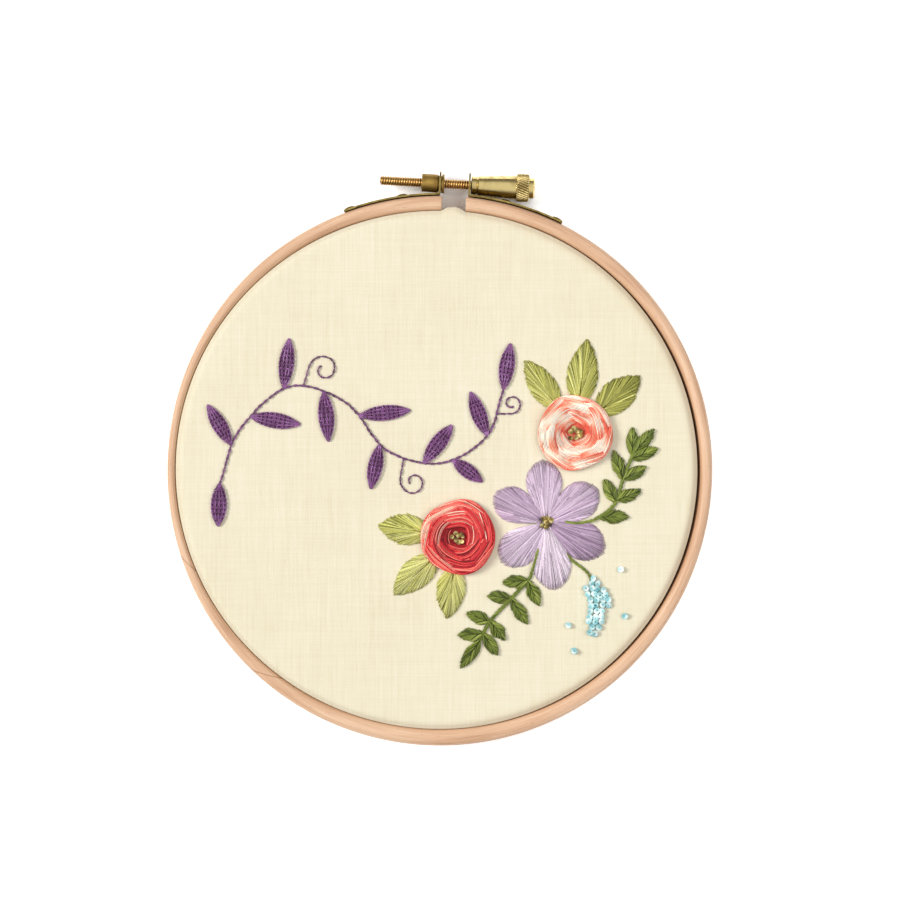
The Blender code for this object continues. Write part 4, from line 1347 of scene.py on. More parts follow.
@dataclass
class Hardware:
    """The two bent straps, their rivets and the threaded bush."""

    strap: float = 0.5
    width: float = 8.0
    reach: float = 33.0
    bend: float = 0.9
    lug_face: float = 4.2
    lug_top: float = RING_RADIUS + 7.4
    corner: float = 2.6
    touch: float = 0.3
    rivets: tuple[float, ...] = (15.5, 31.0)
    rivet_head: float = 1.6
    rivet_height: float = 0.5
    rivet_shank: tuple[float, float] = (0.8, 2.6)
    bush_flange: float = 2.9
    bush_neck: float = 2.3
    bush_body: float = 2.7
    bush_bore: float = 1.65
    bush_end: float = -10.0
    bush_flange_depth: float = 0.7

    def strap_mesh(self, side: int, hole: float) -> bpy.types.Mesh:
        """Return one strap: a strip round the ring, bent up into a drilled lug.

        Args:
            side: -1 for the left strap, 1 for the right one.
            hole: radius of the hole for the screw.

        Returns:
            The strap's mesh.
        """
        low = RING_RADIUS + self.touch
        high = low + self.strap
        root = math.asin((self.lug_face + self.bend) / high)
        tip = math.asin(self.reach / high)
        sweep = np.linspace(root, tip, 25)
        bend_y = low * math.cos(root) + self.bend
        inside = rounded((self.lug_face + self.bend, bend_y), self.bend, 250, 180, 6)
        outside = rounded((self.lug_face + self.bend, bend_y), self.bend - self.strap, 190, 250, 4)
        outline = [(low * math.sin(a), low * math.cos(a)) for a in sweep[::-1]] + inside
        outline += [(self.lug_face, self.lug_top), (self.lug_face + self.strap, self.lug_top)]
        outline += outside + [(high * math.sin(a), high * math.cos(a)) for a in sweep[2:]]
        bm = bmesh.new()
        face = bm.faces.new([bm.verts.new((side * x, y, HARDWARE_Z - self.width / 2))
                             for x, y in outline])
        raised = bmesh.ops.extrude_face_region(bm, geom=[face])["geom"]
        top = [g for g in raised if isinstance(g, bmesh.types.BMVert)]
        bmesh.ops.translate(bm, vec=(0, 0, self.width), verts=top)
        bmesh.ops.recalc_face_normals(bm, faces=bm.faces)
        tall = [e for e in bm.edges if all(abs(v.co.y - self.lug_top) < 0.05 for v in e.verts)
                and abs(e.verts[0].co.z - e.verts[1].co.z) < 0.05]
        bmesh.ops.bevel(bm, geom=tall, offset=self.corner, segments=8, profile=0.5, affect="EDGES",
                        material=-1)
        drill = self.drill(side, hole)
        mesh = finished(bm, "strap", 35.0)
        return carved(mesh, drill)

    def drill(self, side: int, radius: float) -> bpy.types.Mesh:
        """Return the cutter for a lug's hole.

        Args:
            side: -1 for the left lug, 1 for the right one.
            radius: radius of the hole.

        Returns:
            The cutter's mesh.
        """
        bm = bmesh.new()
        bmesh.ops.create_cone(bm, cap_ends=True, segments=40, radius1=radius, radius2=radius,
                              depth=4 * self.strap)
        bmesh.ops.rotate(bm, verts=bm.verts, cent=(0, 0, 0), matrix=Matrix.Rotation(math.pi / 2, 3, "Y"))
        bmesh.ops.translate(bm, vec=(side * self.lug_face, SCREW_Y, HARDWARE_Z), verts=bm.verts)
        return finished(bm, "drill")

    def rivet_mesh(self, x: float) -> bpy.types.Mesh:
        """Return one round-headed rivet at its place along the strap.

        Args:
            x: how far it is to the right of the middle.

        Returns:
            The rivet's mesh.
        """
        dome = [(self.rivet_head * math.sin(a), self.rivet_height * math.cos(a))
                for a in np.linspace(0, math.pi / 2, 7)]
        shank, depth = self.rivet_shank
        bm = spun(dome + [(shank, -0.05), (shank, -depth), (0.0, -depth)], 24)
        spoke = Matrix.Rotation(-math.asin(x / RING_RADIUS), 4, "Z")
        seat = RING_RADIUS + self.touch + self.strap + self.touch
        place = spoke @ Matrix.Translation((0, seat, HARDWARE_Z)) @ Matrix.Rotation(-math.pi / 2, 4, "X")
        bmesh.ops.transform(bm, matrix=place, verts=bm.verts)
        return finished(bm, "rivet")

    def bush_mesh(self) -> bpy.types.Mesh:
        """Return the threaded bush that is riveted in the left lug.

        Returns:
            The bush's mesh.
        """
        flange, neck, body, bore = self.bush_flange, self.bush_neck, self.bush_body, self.bush_bore
        end, ease, mouth = self.bush_end, 0.2, self.bush_bore + 0.15
        shoulder = -self.lug_face - self.strap - self.touch
        gap_side = -self.lug_face + self.touch
        top = gap_side + self.bush_flange_depth
        profile = [(flange, top - ease), (flange, gap_side), (neck, gap_side), (neck, shoulder),
                   (body - ease, shoulder), (body, shoulder - ease), (body, end + ease),
                   (body - ease, end), (mouth, end), (bore, end + ease), (bore, top - ease),
                   (mouth, top), (flange - ease, top)]
        bm = turned_along_x(profile, 48)
        bmesh.ops.translate(bm, vec=(0, SCREW_Y, HARDWARE_Z), verts=bm.verts)
        return finished(bm, "bush", 30.0)

    def build(self, bench: Bench) -> None:
        """Put the straps, the rivets and the bush in the scene.

        Args:
            bench: where pieces go.
        """
        plate = Brass("rolled_brass", bright=ink(196, 172, 104), tarnish=ink(110, 92, 46), worn=0.55,
                      roughness=0.3)
        for word, side, hole in (("left", -1, 2.6), ("right", 1, 1.9)):
            bench.piece(f"brass_strap_{word}", self.strap_mesh(side, hole), plate, [f"strap_{word}"])
            for number, x in enumerate(self.rivets, 1):
                bench.piece(f"brass_rivet_{word}_{number}", self.rivet_mesh(side * x), plate,
                            [f"rivet_{word}_{number}"])
        bush = Brass("bush_brass", bright=ink(190, 158, 88), tarnish=ink(138, 108, 54), worn=0.5,
                     roughness=0.38)
        bench.piece("brass_bush", self.bush_mesh(), bush, ["threaded_bush"])


def carved(mesh: bpy.types.Mesh, cutter: bpy.types.Mesh) -> bpy.types.Mesh:
    """Return a mesh with a cutter taken out of it.

    Args:
        mesh: the mesh.
        cutter: the cutter.

    Returns:
        The cut mesh.
    """
    pair = [bpy.data.objects.new(data.name, data) for data in (mesh, cutter)]
    for held in pair:
        bpy.context.scene.collection.objects.link(held)
    boolean = pair[0].modifiers.new("drilled", "BOOLEAN")
    boolean.object = pair[1]
    bpy.context.view_layer.update()
    whole = pair[0].evaluated_get(bpy.context.evaluated_depsgraph_get())
    cut = bpy.data.meshes.new_from_object(whole)
    for held in pair:
        bpy.data.objects.remove(held)
    return cut


@dataclass
class ThumbScrew:
    """The closing screw: threaded rod, collar, tapered barrel, knurled grip and slotted end."""

    rod: float = 1.45
    tip: float = -22.6
    pitch: float = 0.75
    thread_depth: float = 0.28
    collar: float = 5.0
    barrel: tuple[float, float] = (2.85, 3.55)
    barrel_start: float = 6.95
    grip: tuple[float, float] = (18.5, 22.5)
    grip_radius: float = 4.2
    grip_depth: float = 0.4
    teeth: int = 32
    boss: float = 3.1
    end: float = 24.1
    collar_radius: float = 2.7
    neck: float = 2.45
    core: float = 3.0
    slot: tuple[float, float, float] = (2.8, 12.4, 1.2)

    def rod_mesh(self) -> bpy.types.Mesh:
        """Return the rod with its helical thread, faded out at both ends.

        Returns:
            The rod's mesh.
        """
        along = np.arange(self.tip, self.collar + 0.3, self.pitch / 8)
        chamfer = 0.35
        profile = [(0.0, self.tip)] + [(self.rod, x) for x in along] + [(0.0, self.collar + 0.3)]
        bm = turned_along_x(profile, 36)
        groove = bm.verts.layers.float.new("groove")
        for vert in bm.verts:
            radius = math.hypot(vert.co.y, vert.co.z)
            if radius < 0.1:
                continue
            turn = math.atan2(vert.co.z, vert.co.y) / math.tau
            phase = (vert.co.x / self.pitch + turn) % 1
            cut = self.thread_depth * (1 - abs(2 * phase - 1)) ** 1.3
            vert[groove] = cut / self.thread_depth
            lead = min(chamfer, max(0.0, chamfer - (vert.co.x - self.tip)))
            wanted = self.rod - cut - lead
            vert.co.y *= wanted / radius
            vert.co.z *= wanted / radius
        return finished(bm, "rod", 60.0)

    def head_mesh(self) -> bpy.types.Mesh:
        """Return the collar, the barrel and the end boss, turned as one.

        Returns:
            The head's mesh.
        """
        ease, chamfer, lap = 0.2, 0.35, 0.3
        slim, wide = self.barrel
        start, first, last = self.barrel_start, self.grip[0] + lap, self.grip[1] - lap
        profile = [(0.0, self.collar), (self.collar_radius - ease, self.collar),
                   (self.collar_radius, self.collar + ease), (self.collar_radius, start - 0.5),
                   (self.neck, start - 0.35), (self.neck, start - 0.1), (slim - ease, start),
                   (slim, start + ease), (wide, first), (self.core, first), (self.core, last),
                   (self.boss, last), (self.boss, self.end - chamfer),
                   (self.boss - chamfer, self.end), (0.0, self.end)]
        return carved(finished(turned_along_x(profile, 64), "head", 30.0), self.slot_cutter())

    def slot_cutter(self) -> bpy.types.Mesh:
        """Return the cutter for the slot in the end.

        Returns:
            The cutter's mesh.
        """
        bm = bmesh.new()
        bmesh.ops.create_cube(bm, size=1.0)
        bmesh.ops.scale(bm, vec=self.slot, verts=bm.verts)
        bmesh.ops.translate(bm, vec=(self.end, 0, 0), verts=bm.verts)
        return finished(bm, "slot")

    def grip_mesh(self) -> bpy.types.Mesh:
        """Return the grip with its slanting teeth.

        Returns:
            The grip's mesh.
        """
        start, end = self.grip
        ends = [(3.0, start + 0.1), (3.6, start)]
        side = [(self.grip_radius, x) for x in np.linspace(start + 0.25, end - 0.25, 15)]
        bm = turned_along_x([*ends, *side, (3.6, end), (3.0, end - 0.1)], self.teeth * 6)
        groove = bm.verts.layers.float.new("groove")
        for vert in bm.verts:
            radius = math.hypot(vert.co.y, vert.co.z)
            if radius < self.grip_radius - 0.1:
                continue
            turn = math.atan2(vert.co.z, vert.co.y) / math.tau
            share = (vert.co.x - start) / (end - start)
            phase = (turn * self.teeth - share * self.teeth / 16) % 1
            vert[groove] = abs(2 * phase - 1) ** 1.6
            wanted = self.grip_radius - self.grip_depth * vert[groove]
            wanted -= 0.22 * abs(2 * share - 1) ** 8
            vert.co.y *= wanted / radius
            vert.co.z *= wanted / radius
        return finished(bm, "grip", 45.0)

    def build(self, bench: Bench) -> None:
        """Put the screw in the scene, on its own body.

        Args:
            bench: where pieces go.
        """
        whole = joined("thumb_screw", [self.rod_mesh(), self.head_mesh(), self.grip_mesh()])
        whole.transform(Matrix.Translation((0, SCREW_Y, HARDWARE_Z)))
        finish = CutBrass("screw_brass", bright=ink(236, 212, 146), worn=0.25, roughness=0.2)
        bench.piece("brass_thumb_screw", whole, finish, ["thumb_screw"], body=Body.SCREW)


@dataclass
class WoundRose:
    """A rose wound of many strands round a hollow that holds its eye."""

    name: str
    centre: tuple[float, float]
    floss: Floss
    variegated: bool
    seed: int
    radius: float = 11.0
    levels: tuple = ((0.0, 1.2), (0.2, 1.3), (0.27, 1.6), (0.38, 2.4), (0.52, 3.0), (0.68, 3.3),
                     (0.84, 2.9), (0.95, 2.1), (1.0, 1.1))
    strand: float = 0.48
    rounds: tuple = ((3.7, 4, 60.0, 3), (5.5, 5, 54.0, 4), (7.4, 6, 46.0, 4), (9.2, 7, 40.0, 4),
                     (10.2, 7, 36.0, 3))
    foot_rows: tuple = ((11.0, 0.25), (11.05, 0.65), (11.0, 1.05), (10.85, 1.45), (10.6, 1.85))
    # direction, in degrees, of the side that is painted paler, as if lit by the key light
    painted_light_side: float = 155.0

    def dome(self, reach: np.ndarray) -> np.ndarray:
        """Return the rose's height over the stitches' base at a distance from its middle."""
        shares, heights = zip(*self.levels)
        return np.interp(reach / self.radius, shares, heights)

    def dyes(self, dice: np.random.Generator, reach: float, turn: float, s: np.ndarray) -> np.ndarray:
        """Return the dye along a bundle of strands, with painted shade at its ends, where they tuck under
        the next bundle, and painted light on the side towards the key light.

        Args:
            dice: the source of unevenness.
            reach: the bundle's distance from the middle.
            turn: the way it lies in from the middle, in radians.
            s: places along it, from -1 to 1.

        Returns:
            One dye for each place.
        """
        share = reach / self.radius
        # painted shade: the ends of a bundle, which tuck under the next, are dyed darker
        tuck = 0.22 * np.abs(s) ** 3
        # painted light: strands on the side towards the key light are dyed paler
        lit = math.cos(turn - math.radians(self.painted_light_side))
        if self.variegated:
            wave = np.sin(s * dice.uniform(1.6, 3.2) + dice.uniform(0, math.tau))
            deep = 0.45 if reach < 4.5 else 0.0
            return 0.58 + 0.46 * wave - tuck - deep + 0.06 * lit
        rim = max(0.0, share - 0.6) / 0.4
        return 0.10 + 0.48 * share + 0.26 * rim * lit + dice.normal(0, 0.10) - tuck

    def bands(self, work: ThreadWork) -> None:
        """Wind the bundles, from the hollow out to the foot, each tucked under the next.

        Args:
            work: the thread work that takes them.
        """
        dice = np.random.default_rng(self.seed)
        s = np.linspace(-1, 1, work.rings)
        for layer, (reach, arcs, reach_angle, strands) in enumerate(self.rounds):
            phase = layer * 0.9 + dice.uniform(0, 1)
            for number in range(arcs):
                middle = phase + math.tau * (number + dice.uniform(-0.14, 0.14)) / arcs
                half = math.radians(reach_angle * dice.uniform(0.9, 1.12))
                lift = dice.uniform(-0.15, 0.45)
                dye = self.dyes(dice, reach, middle, s)
                bow = dice.uniform(0.10, 0.2)
                for strand in np.linspace(-1, 1, 2 * strands + 1):
                    spread = strand * strands * 0.40 * (1 - 0.4 * s ** 2)
                    away = reach * (1 + bow * s ** 2 + 0.09 * s) + spread
                    away = np.clip(away, 2.2, self.radius - 0.05 * abs(strand))
                    turn = middle + half * s * (1 - 0.06 * strand)
                    height = (STITCH_BASE + self.dome(away) + lift - 0.45
                              + 0.85 * (1 - strand ** 2) - 0.9 * np.abs(s) ** 4)
                    # painted shade: strands on a bundle's inner edge are dyed darker, for the crevice
                    # between bundles; the rest of the spread is random
                    shade = dye - 0.16 * (strand < -0.6) + dice.normal(0, 0.13)
                    shade = shade + dice.choice((0.03, 0.4, -0.3), p=(0.72, 0.17, 0.11))
                    self.strand_at(work, dice, away, turn, height, shade)

    def foot(self, work: ThreadWork) -> None:
        """Wind the strands that go round the steep foot.

        Args:
            work: the thread work that takes them.
        """
        dice = np.random.default_rng(self.seed + 50)
        s = np.linspace(-1, 1, work.rings)
        for away, height in self.foot_rows:
            for number in range(6):
                middle = number * math.tau / 6 + dice.uniform(0, 0.6)
                for strand in (-0.1, 0.12):
                    reach = np.full_like(s, away + strand) - 0.25 * np.abs(s) ** 4
                    rise = CLOTH_TOP + height + strand * 1.5 + dice.uniform(-0.08, 0.08)
                    dye = self.dyes(dice, away, middle, s) + dice.normal(0, 0.07)
                    self.strand_at(work, dice, reach, middle + s * 0.68, np.full_like(s, rise), dye)

    def strand_at(self, work: ThreadWork, dice: np.random.Generator, away: np.ndarray,
                  turn: np.ndarray, height: np.ndarray, dye: np.ndarray) -> None:
        """Lay one strand given in polar form round the rose's middle.

        Args:
            work: the thread work that takes it.
            dice: the source of unevenness.
            away: distances from the middle.
            turn: angles round it, in radians.
            height: heights.
            dye: dyes along it.
        """
        uneven = 1 + 0.022 * np.sin(3 * turn + self.seed) + 0.016 * np.sin(5 * turn - self.seed)
        flat = np.column_stack([np.cos(turn), np.sin(turn)]) * (away * uneven)[:, None]
        path = np.column_stack([np.array(self.centre) + flat, height])
        tone = float(np.clip(dice.normal(0.5, 0.24), 0, 1))
        work.lay(path, self.strand * dice.uniform(0.85, 1.2), tone, np.clip(dye, 0, 1))

    def build(self, bench: Bench) -> None:
        """Put the rose and the knots of its eye in the scene.

        Args:
            bench: where pieces go.
        """
        work = ThreadWork(rings=14)
        self.bands(work)
        self.foot(work)
        circle = [Vector(self.centre) + Vector((math.cos(a), math.sin(a))) * self.radius * 0.96
                  for a in np.linspace(0, math.tau, 48, endpoint=False)]
        levels = tuple((share, height - 0.25) for share, height in reversed(self.levels) if share > 0.1)
        # painted shade: the padding under the strands is toned and dyed dark, for the shade in the gaps
        # between them
        core = toned(mound(circle, CLOTH_TOP - 0.1, levels, Vector(self.centre)), 0.2, 0.1)
        bench.piece(f"{self.name}_rose", joined("rose", [work.mesh(), core]), self.floss,
                    [f"rose_{self.name}"], STITCH_PLACE)
        eye = ThreadWork(rings=26)
        stitcher = Stitcher(self.seed + 9)
        ring_of_knots(stitcher, eye, self.centre, STITCH_BASE + 1.2, 1.5)
        bench.piece(f"{self.name}_rose_eye", eye.mesh(), GOLD, [f"rose_{self.name}_eye"],
                    STITCH_PLACE)


@dataclass
class LimeLeaves:
    """The broad leaves set round the two roses."""

    roses: dict[str, tuple[float, float]]
    table: tuple = (
        ("coral", 172.0, 13.2, 9.4, 0.53), ("coral", 221.5, 14.9, 9.0, 0.66),
        ("coral", 262.5, 13.7, 8.6, 0.68), ("peach", 124.5, 15.4, 8.0, 0.48),
        ("peach", 82.5, 17.4, 9.2, 0.4), ("peach", 41.0, 15.0, 9.6, 0.24))
    start: float = 11.3
    tuck: float = 1.2
    strands: int = 81

    def build(self, bench: Bench) -> None:
        """Put the leaves in the scene, each a padded fishbone of lime threads.

        Args:
            bench: where pieces go.
        """
        for number, (rose, direction, length, width, dye) in enumerate(self.table, 1):
            heading = math.radians(direction)
            centre = self.roses[rose]
            away = self.start - self.tuck
            base = (centre[0] + away * math.cos(heading), centre[1] + away * math.sin(heading))
            shape = LeafShape(base, heading, length + self.tuck, width, first=0.15)
            work = ThreadWork(rings=9)
            Stitcher(100 + number).fishbone(work, shape, self.strands, 0.74, 0.38, dye, 0.05)
            # the padding is toned darker than the threads: painted shade in the gaps between them
            whole = joined("leaf", [work.mesh(), shape.padding(0.3, 0.2)])
            bench.piece(f"lime_leaf_{number}", whole, LIME, [f"leaf_{rose}_{number}"], STITCH_PLACE)


@dataclass
class PetalFlower:
    """Six padded petals round an eye of knots."""

    centre: tuple[float, float] = (31.9, -15.7)
    petals: tuple = ((93.0, 18.4, 10.6, 0.54), (33.0, 18.2, 11.0, 0.46), (-27.0, 19.2, 11.3, 0.22),
                     (-82.5, 20.2, 11.3, 0.89), (-137.5, 17.8, 11.0, 0.65), (152.0, 17.4, 10.4, 0.34))
    eye: float = 2.2
    strands: int = 201

    def build(self, bench: Bench) -> None:
        """Put the petals and the eye in the scene.

        Args:
            bench: where pieces go.
        """
        for number, (direction, reach, width, dye) in enumerate(self.petals, 1):
            heading = math.radians(direction)
            start = self.eye - 0.9
            base = (self.centre[0] + start * math.cos(heading), self.centre[1] + start * math.sin(heading))
            shape = LeafShape(base, heading, reach - start, width, first=0.1, blunt=0.62, bulge=1.7)
            work = ThreadWork(rings=9)
            Stitcher(200 + number).rays(work, shape, self.strands, 0.38, dye)
            # the padding is toned and dyed darker than the threads: painted shade in the gaps between them
            whole = joined("petal", [work.mesh(), shape.padding(0.25, dye * 0.4)])
            bench.piece(f"lilac_petal_{number}", whole, LILAC, [f"petal_{number}"], STITCH_PLACE)
        eye = ThreadWork(rings=26)
        ring_of_knots(Stitcher(209), eye, self.centre, CLOTH_TOP + 0.5, 1.35)
        bench.piece("flower_eye_knots", eye.mesh(), GOLD, ["flower_eye"], STITCH_PLACE)


@dataclass
class Sprig:
    """A stitched stem with small leaves."""

    name: str
    line: StitchPath
    lead: StitchPath
    leaflets: tuple
    seed: int
    width: float = 3.9
    strands: int = 17

    def build(self, bench: Bench) -> None:
        """Put the sprig in the scene as one piece.

        Args:
            bench: where pieces go.
        """
        work = ThreadWork(rings=8)
        stitcher = Stitcher(self.seed)
        stitcher.stem(work, self.line, 1.15, 0.35)
        stitcher.stem(work, self.lead, 0.9, 0.45, 0.55)
        parts = []
        for share, turn, length in self.leaflets:
            place, heading = self.line.span(share)
            shape = LeafShape(tuple(place), heading + math.radians(turn), length, self.width,
                              height=0.95)
            stitcher.fishbone(work, shape, self.strands, 0.4, 0.5, 0.4, 0.1)
            # the padding is toned and dyed darker than the threads: painted shade in the gaps between them
            parts.append(shape.padding(0.2, 0.1, 0.3))
        bench.piece(f"green_{self.name}", joined(self.name, [work.mesh(), *parts]), GREEN,
                    [self.name], STITCH_PLACE)


@dataclass
class KnotWork:
    """The bunch of blue knots, its stem, and the loose knots round it."""

    top: tuple[float, float] = (46.1, -32.4)
    rows: tuple = ((1, 0.0), (2, 0.6), (4, 0.3), (4, 0.9), (4, 1.9), (4, 1.7), (3, 0.9), (3, 0.6),
                   (3, 0.5), (2, 0.7), (2, -0.2))
    pitch: float = 1.85
    row: float = 1.65
    radius: float = 1.15
    height: float = 1.6
    strays: tuple = ((54.2, -29.8), (55.5, -43.9), (38.5, -46.6), (40.2, -54.2))
    line: StitchPath = field(default_factory=lambda: StitchPath(
        ((37.4, -24.6), (39.9, -27.3), (42.6, -29.3), (44.6, -31.2), (45.5, -33.4))))

    def build(self, bench: Bench) -> None:
        """Put the stem and every knot in the scene.

        Args:
            bench: where pieces go.
        """
        stitcher = Stitcher(300)
        stem = ThreadWork(rings=8)
        stitcher.stem(stem, self.line, 0.85, 0.5)
        bench.piece("green_knot_stem", stem.mesh(), GREEN, ["knot_stem"], STITCH_PLACE)
        bunch = ThreadWork(rings=26)
        for number, (count, shift) in enumerate(self.rows):
            for column in range(count):
                aside = shift + (column - (count - 1) / 2) * self.pitch
                jitter = stitcher.dice.uniform(-0.3, 0.3, 2)
                place = np.array(self.top) + (aside, -number * self.row) + jitter
                stitcher.knot(bunch, tuple(place), CLOTH_TOP, self.radius, self.height, 0.5)
        bench.piece("blue_knot_bunch", bunch.mesh(), BLUE, ["knot_bunch"], STITCH_PLACE)
        for number, place in enumerate(self.strays, 1):
            loose = ThreadWork(rings=26)
            stitcher.knot(loose, place, CLOTH_TOP, self.radius, self.height, 0.6)
            bench.piece(f"blue_knot_{number}", loose.mesh(), BLUE, [f"knot_{number}"], STITCH_PLACE)


@dataclass
class Vine:
    """The purple vine: back-stitched stem and tendrils, and leaves filled with chain stitch."""

    line: StitchPath = field(default_factory=lambda: StitchPath(
        ((-66.0, -4.0), (-60.0, 12.0), (-45.0, 25.0), (-28.0, 20.0),
         (-16.0, 6.0), (0.0, 2.0), (14.0, 10.0), (19.0, 24.0))))
    leaves: tuple = (
        (0.0, -162.0, 13.0, 5.0), (0.10, 52.0, 14.0, 4.6), (0.18, -58.0, 15.0, 5.0),
        (0.27, 60.0, 15.0, 4.8), (0.37, -62.0, 15.0, 5.0), (0.47, 58.0, 15.5, 4.8),
        (0.55, -56.0, 13.5, 4.6), (0.67, 60.0, 14.5, 5.0), (0.75, -58.0, 11.0, 4.4),
        (0.86, 60.0, 14.0, 4.8), (1.0, 10.0, 14.0, 4.8))
    tendrils: tuple = ((0.32, 78.0, 6.5, 4.5, -1), (0.62, -80.0, 6.5, 4.0, 1),
                       (0.93, -75.0, 4.5, 3.0, 1))
    winding: float = 400.0
    closing: float = 0.72
    rows: tuple[float, ...] = (-0.72, -0.24, 0.24, 0.72)

    def tendril(self, share: float, turn: float, run: float, radius: float, curl: int) -> StitchPath:
        """Return a strand's line: out of the stem and then winding in.

        Args:
            share: where on the stem it starts, from 0 to 1.
            turn: its angle to the stem, in degrees.
            run: how far it goes before it winds.
            radius: radius of its first wind.
            curl: 1 to wind to the left, -1 to the right.

        Returns:
            The line.
        """
        place, heading = self.line.span(share)
        heading += math.radians(turn)
        ahead = np.array((math.cos(heading), math.sin(heading)))
        side = np.array((-ahead[1], ahead[0])) * curl
        hub = place + ahead * run + side * radius
        points = [tuple(place), tuple(place + ahead * run / 2)]
        for portion in np.linspace(0, 1, 13):
            wind = portion * math.radians(self.winding)
            shrink = radius * (1 - self.closing * portion)
            points.append(tuple(hub + (ahead * math.sin(wind) - side * math.cos(wind)) * shrink))
        return StitchPath(tuple(points))

    def build(self, bench: Bench) -> None:
        """Put the whole vine in the scene as one piece.

        Args:
            bench: where pieces go.
        """
        work = ThreadWork(rings=14, sides=6)
        stitcher = Stitcher(400)
        stitcher.back(work, self.line, 1.0, 0.3)
        for tendril in self.tendrils:
            stitcher.back(work, self.tendril(*tendril), 0.8, 0.25)
        parts = []
        for share, turn, length, width in self.leaves:
            place, heading = self.line.span(share)
            shape = LeafShape(tuple(place), heading + math.radians(turn), length, width, height=0.85)
            stitcher.chain(work, shape, self.rows, 0.46, 0.5)
            # the padding is toned and dyed darker than the threads: painted shade in the gaps between them
            parts.append(shape.padding(0.2, 0.1, 0.3))
        bench.piece("purple_vine", joined("vine", [work.mesh(), *parts]), PURPLE, ["vine"],
                    STITCH_PLACE)


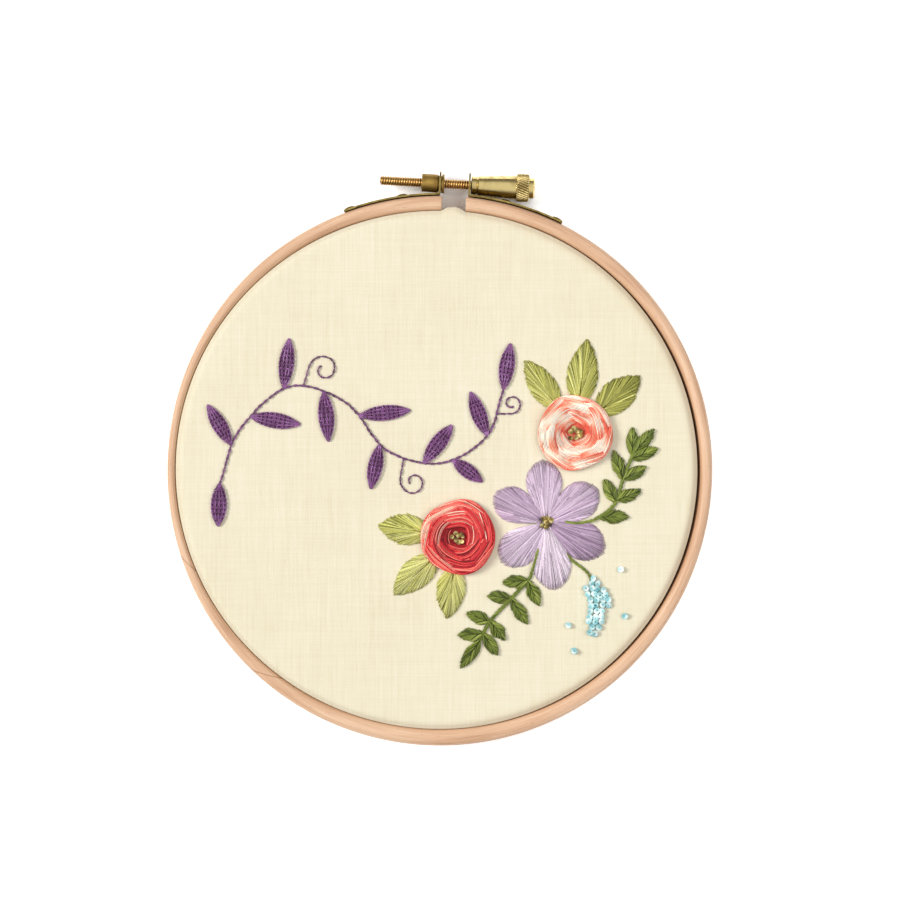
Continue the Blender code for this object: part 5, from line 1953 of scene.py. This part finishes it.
@dataclass
class Studio:
    """The pale floor, the soft lights and the camera over the hoop's face."""

    pixel: float = 0.3
    frame_pixels: int = 900
    middle: tuple[float, float] = (439.8, 469.9)
    distance: float = 800.0
    sensor: float = 36.0
    floor_half: float = 3.0
    floor_drop: float = 0.0002
    lamps: tuple = (("key", (-1.74, 0.28, 1.77), 0.87, 46.5, (1.0, 0.975, 0.94)),
                    ("fill", (0.5, 0.06, 0.72), 0.6, 2.4, (0.98, 0.99, 1.0)))
    sky: tuple = ((0.0, (0.16, 0.15, 0.14, 1)), (0.3, (0.22, 0.21, 0.2, 1)),
                  (0.62, (0.5, 0.5, 0.5, 1)), (0.8, (1.1, 1.1, 1.1, 1)))
    sky_strength: float = 0.72

    def floor(self) -> None:
        """Lay a wide pale floor that glows, with painted shade where the hoop closes round it."""
        bm = bmesh.new()
        bmesh.ops.create_grid(bm, x_segments=8, y_segments=8, size=self.floor_half)
        bmesh.ops.translate(bm, vec=(0, 0, -self.floor_drop), verts=bm.verts)
        mesh = bpy.data.meshes.new("floor")
        bm.to_mesh(mesh)
        bm.free()
        paper = Recipe("glowing_pale_paper")
        x, y, z = paper.on_hoop()
        grain = paper.noise(paper.join(x / 60, y / 60, z), 3.0)
        # painted light and shade: the floor glows, which lifts the hoop's cast shadow, and the glow fades
        # where nearby parts close round it, which darkens the gap between the ring's ends
        open_sky = paper.node("ShaderNodeAmbientOcclusion", {"samples": 16}, {"Distance": 0.012}, "AO")
        painted_floor_glow = open_sky.step(0.3, 0.5)
        mesh.materials.append(paper.dress(
            Base_Color=paper.mix(grain, ink(252, 252, 252), ink(248, 248, 248)), Roughness=0.9,
            Emission_Color=paper.join(painted_floor_glow, painted_floor_glow, painted_floor_glow), Emission_Strength=0.4))
        made = bpy.data.objects.new("floor", mesh)
        bpy.context.scene.collection.objects.link(made)

    def lamp(self, name: str, place: tuple[float, float, float], size: float, power: float,
             colour: tuple[float, float, float]) -> None:
        """Hang one square soft light, turned to the hoop.

        Args:
            name: its name.
            place: where it hangs, in metres.
            size: its side in metres.
            power: its power in watts.
            colour: the colour of its light.
        """
        light = bpy.data.lights.new(name, "AREA")
        light.size = size
        light.energy = power
        light.color = colour
        made = bpy.data.objects.new(name, light)
        made.location = place
        made.rotation_euler = (-Vector(place)).to_track_quat("-Z", "Y").to_euler()
        bpy.context.scene.collection.objects.link(made)

    def camera(self) -> None:
        """Set the camera over the face, rolled as the hoop lies in the photograph."""
        half = self.frame_pixels / 2
        offset = Vector(((half - self.middle[0]) * self.pixel, (self.middle[1] - half) * self.pixel, 0))
        offset.rotate(Matrix.Rotation(STITCH_TURN, 3, "Z"))
        data = bpy.data.cameras.new("camera")
        data.sensor_width = self.sensor
        data.lens = self.sensor * self.distance / (self.frame_pixels * self.pixel)
        data.clip_end = 50
        made = bpy.data.objects.new("camera", data)
        made.location = (offset.x * MM, (offset.y + CENTRE_Y) * MM, (self.distance + CLOTH_TOP) * MM)
        made.rotation_euler = (0, 0, STITCH_TURN)
        bpy.context.scene.collection.objects.link(made)
        bpy.context.scene.camera = made

    def build(self) -> None:
        """Set up the whole studio."""
        self.floor()
        for lamp in self.lamps:
            self.lamp(*lamp)
        world = bpy.data.worlds.new("studio")
        world.use_nodes = True
        tree = world.node_tree
        ways = tree.nodes.new("ShaderNodeTexCoord")
        height = tree.nodes.new("ShaderNodeSeparateXYZ")
        sky = tree.nodes.new("ShaderNodeValToRGB")
        Recipe.fill_ramp(sky.color_ramp, self.sky)
        tree.links.new(ways.outputs["Generated"], height.inputs[0])
        tree.links.new(height.outputs["Z"], sky.inputs[0])
        tree.links.new(sky.outputs[0], tree.nodes["Background"].inputs["Color"])
        tree.nodes["Background"].inputs["Strength"].default_value = self.sky_strength
        bpy.context.scene.world = world
        bpy.context.scene.view_settings.view_transform = "Standard"
        self.camera()


def main() -> None:
    """Build every sub-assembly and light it."""
    logging.basicConfig(level=logging.INFO, format="%(message)s")
    bench = Bench()
    inner_ring = WoodenRings().build(bench)
    StretchedCloth().build(bench, inner_ring)
    Hardware().build(bench)
    ThumbScrew().build(bench)
    roses = {"coral": (5.5, -20.1), "peach": (40.5, 11.1)}
    WoundRose("coral", roses["coral"], CORAL, False, 11).build(bench)
    WoundRose("peach", roses["peach"], PEACH, True, 21).build(bench)
    LimeLeaves(roses).build(bench)
    PetalFlower().build(bench)
    Sprig("sprig_upper",
          StitchPath(((46.6, -14.9), (50.3, -12.5), (53.0, -9.2), (54.9, -3.0), (57.8, 4.4))),
          StitchPath(((37.6, -15.6), (41.6, -15.9), (44.6, -15.4), (46.6, -14.9))),
          ((0.08, -29.0, 9.2), (0.50, -42.0, 8.2), (0.48, 56.0, 7.8), (0.75, -40.0, 8.4),
           (0.75, 37.0, 9.4), (0.96, -47.0, 9.0), (1.0, -18.0, 10.4), (1.0, 22.0, 8.6)), 500).build(bench)
    Sprig("sprig_lower",
          StitchPath(((27.4, -31.1), (26.4, -33.1), (21.5, -38.5), (15.1, -45.3), (12.2, -50.9))),
          StitchPath(((29.5, -23.6), (28.5, -27.6), (27.4, -31.1))),
          ((0.25, 63.0, 8.8), (0.25, -46.0, 7.8), (0.50, 74.0, 9.4), (0.50, -52.0, 7.6),
           (0.75, 75.0, 7.4), (0.76, -75.0, 7.6), (0.92, 58.0, 8.0), (0.92, -64.0, 7.8),
           (1.0, -8.0, 10.8)), 510).build(bench)
    KnotWork().build(bench)
    Vine().build(bench)
    Studio().build()


if __name__ == "__main__":
    main()
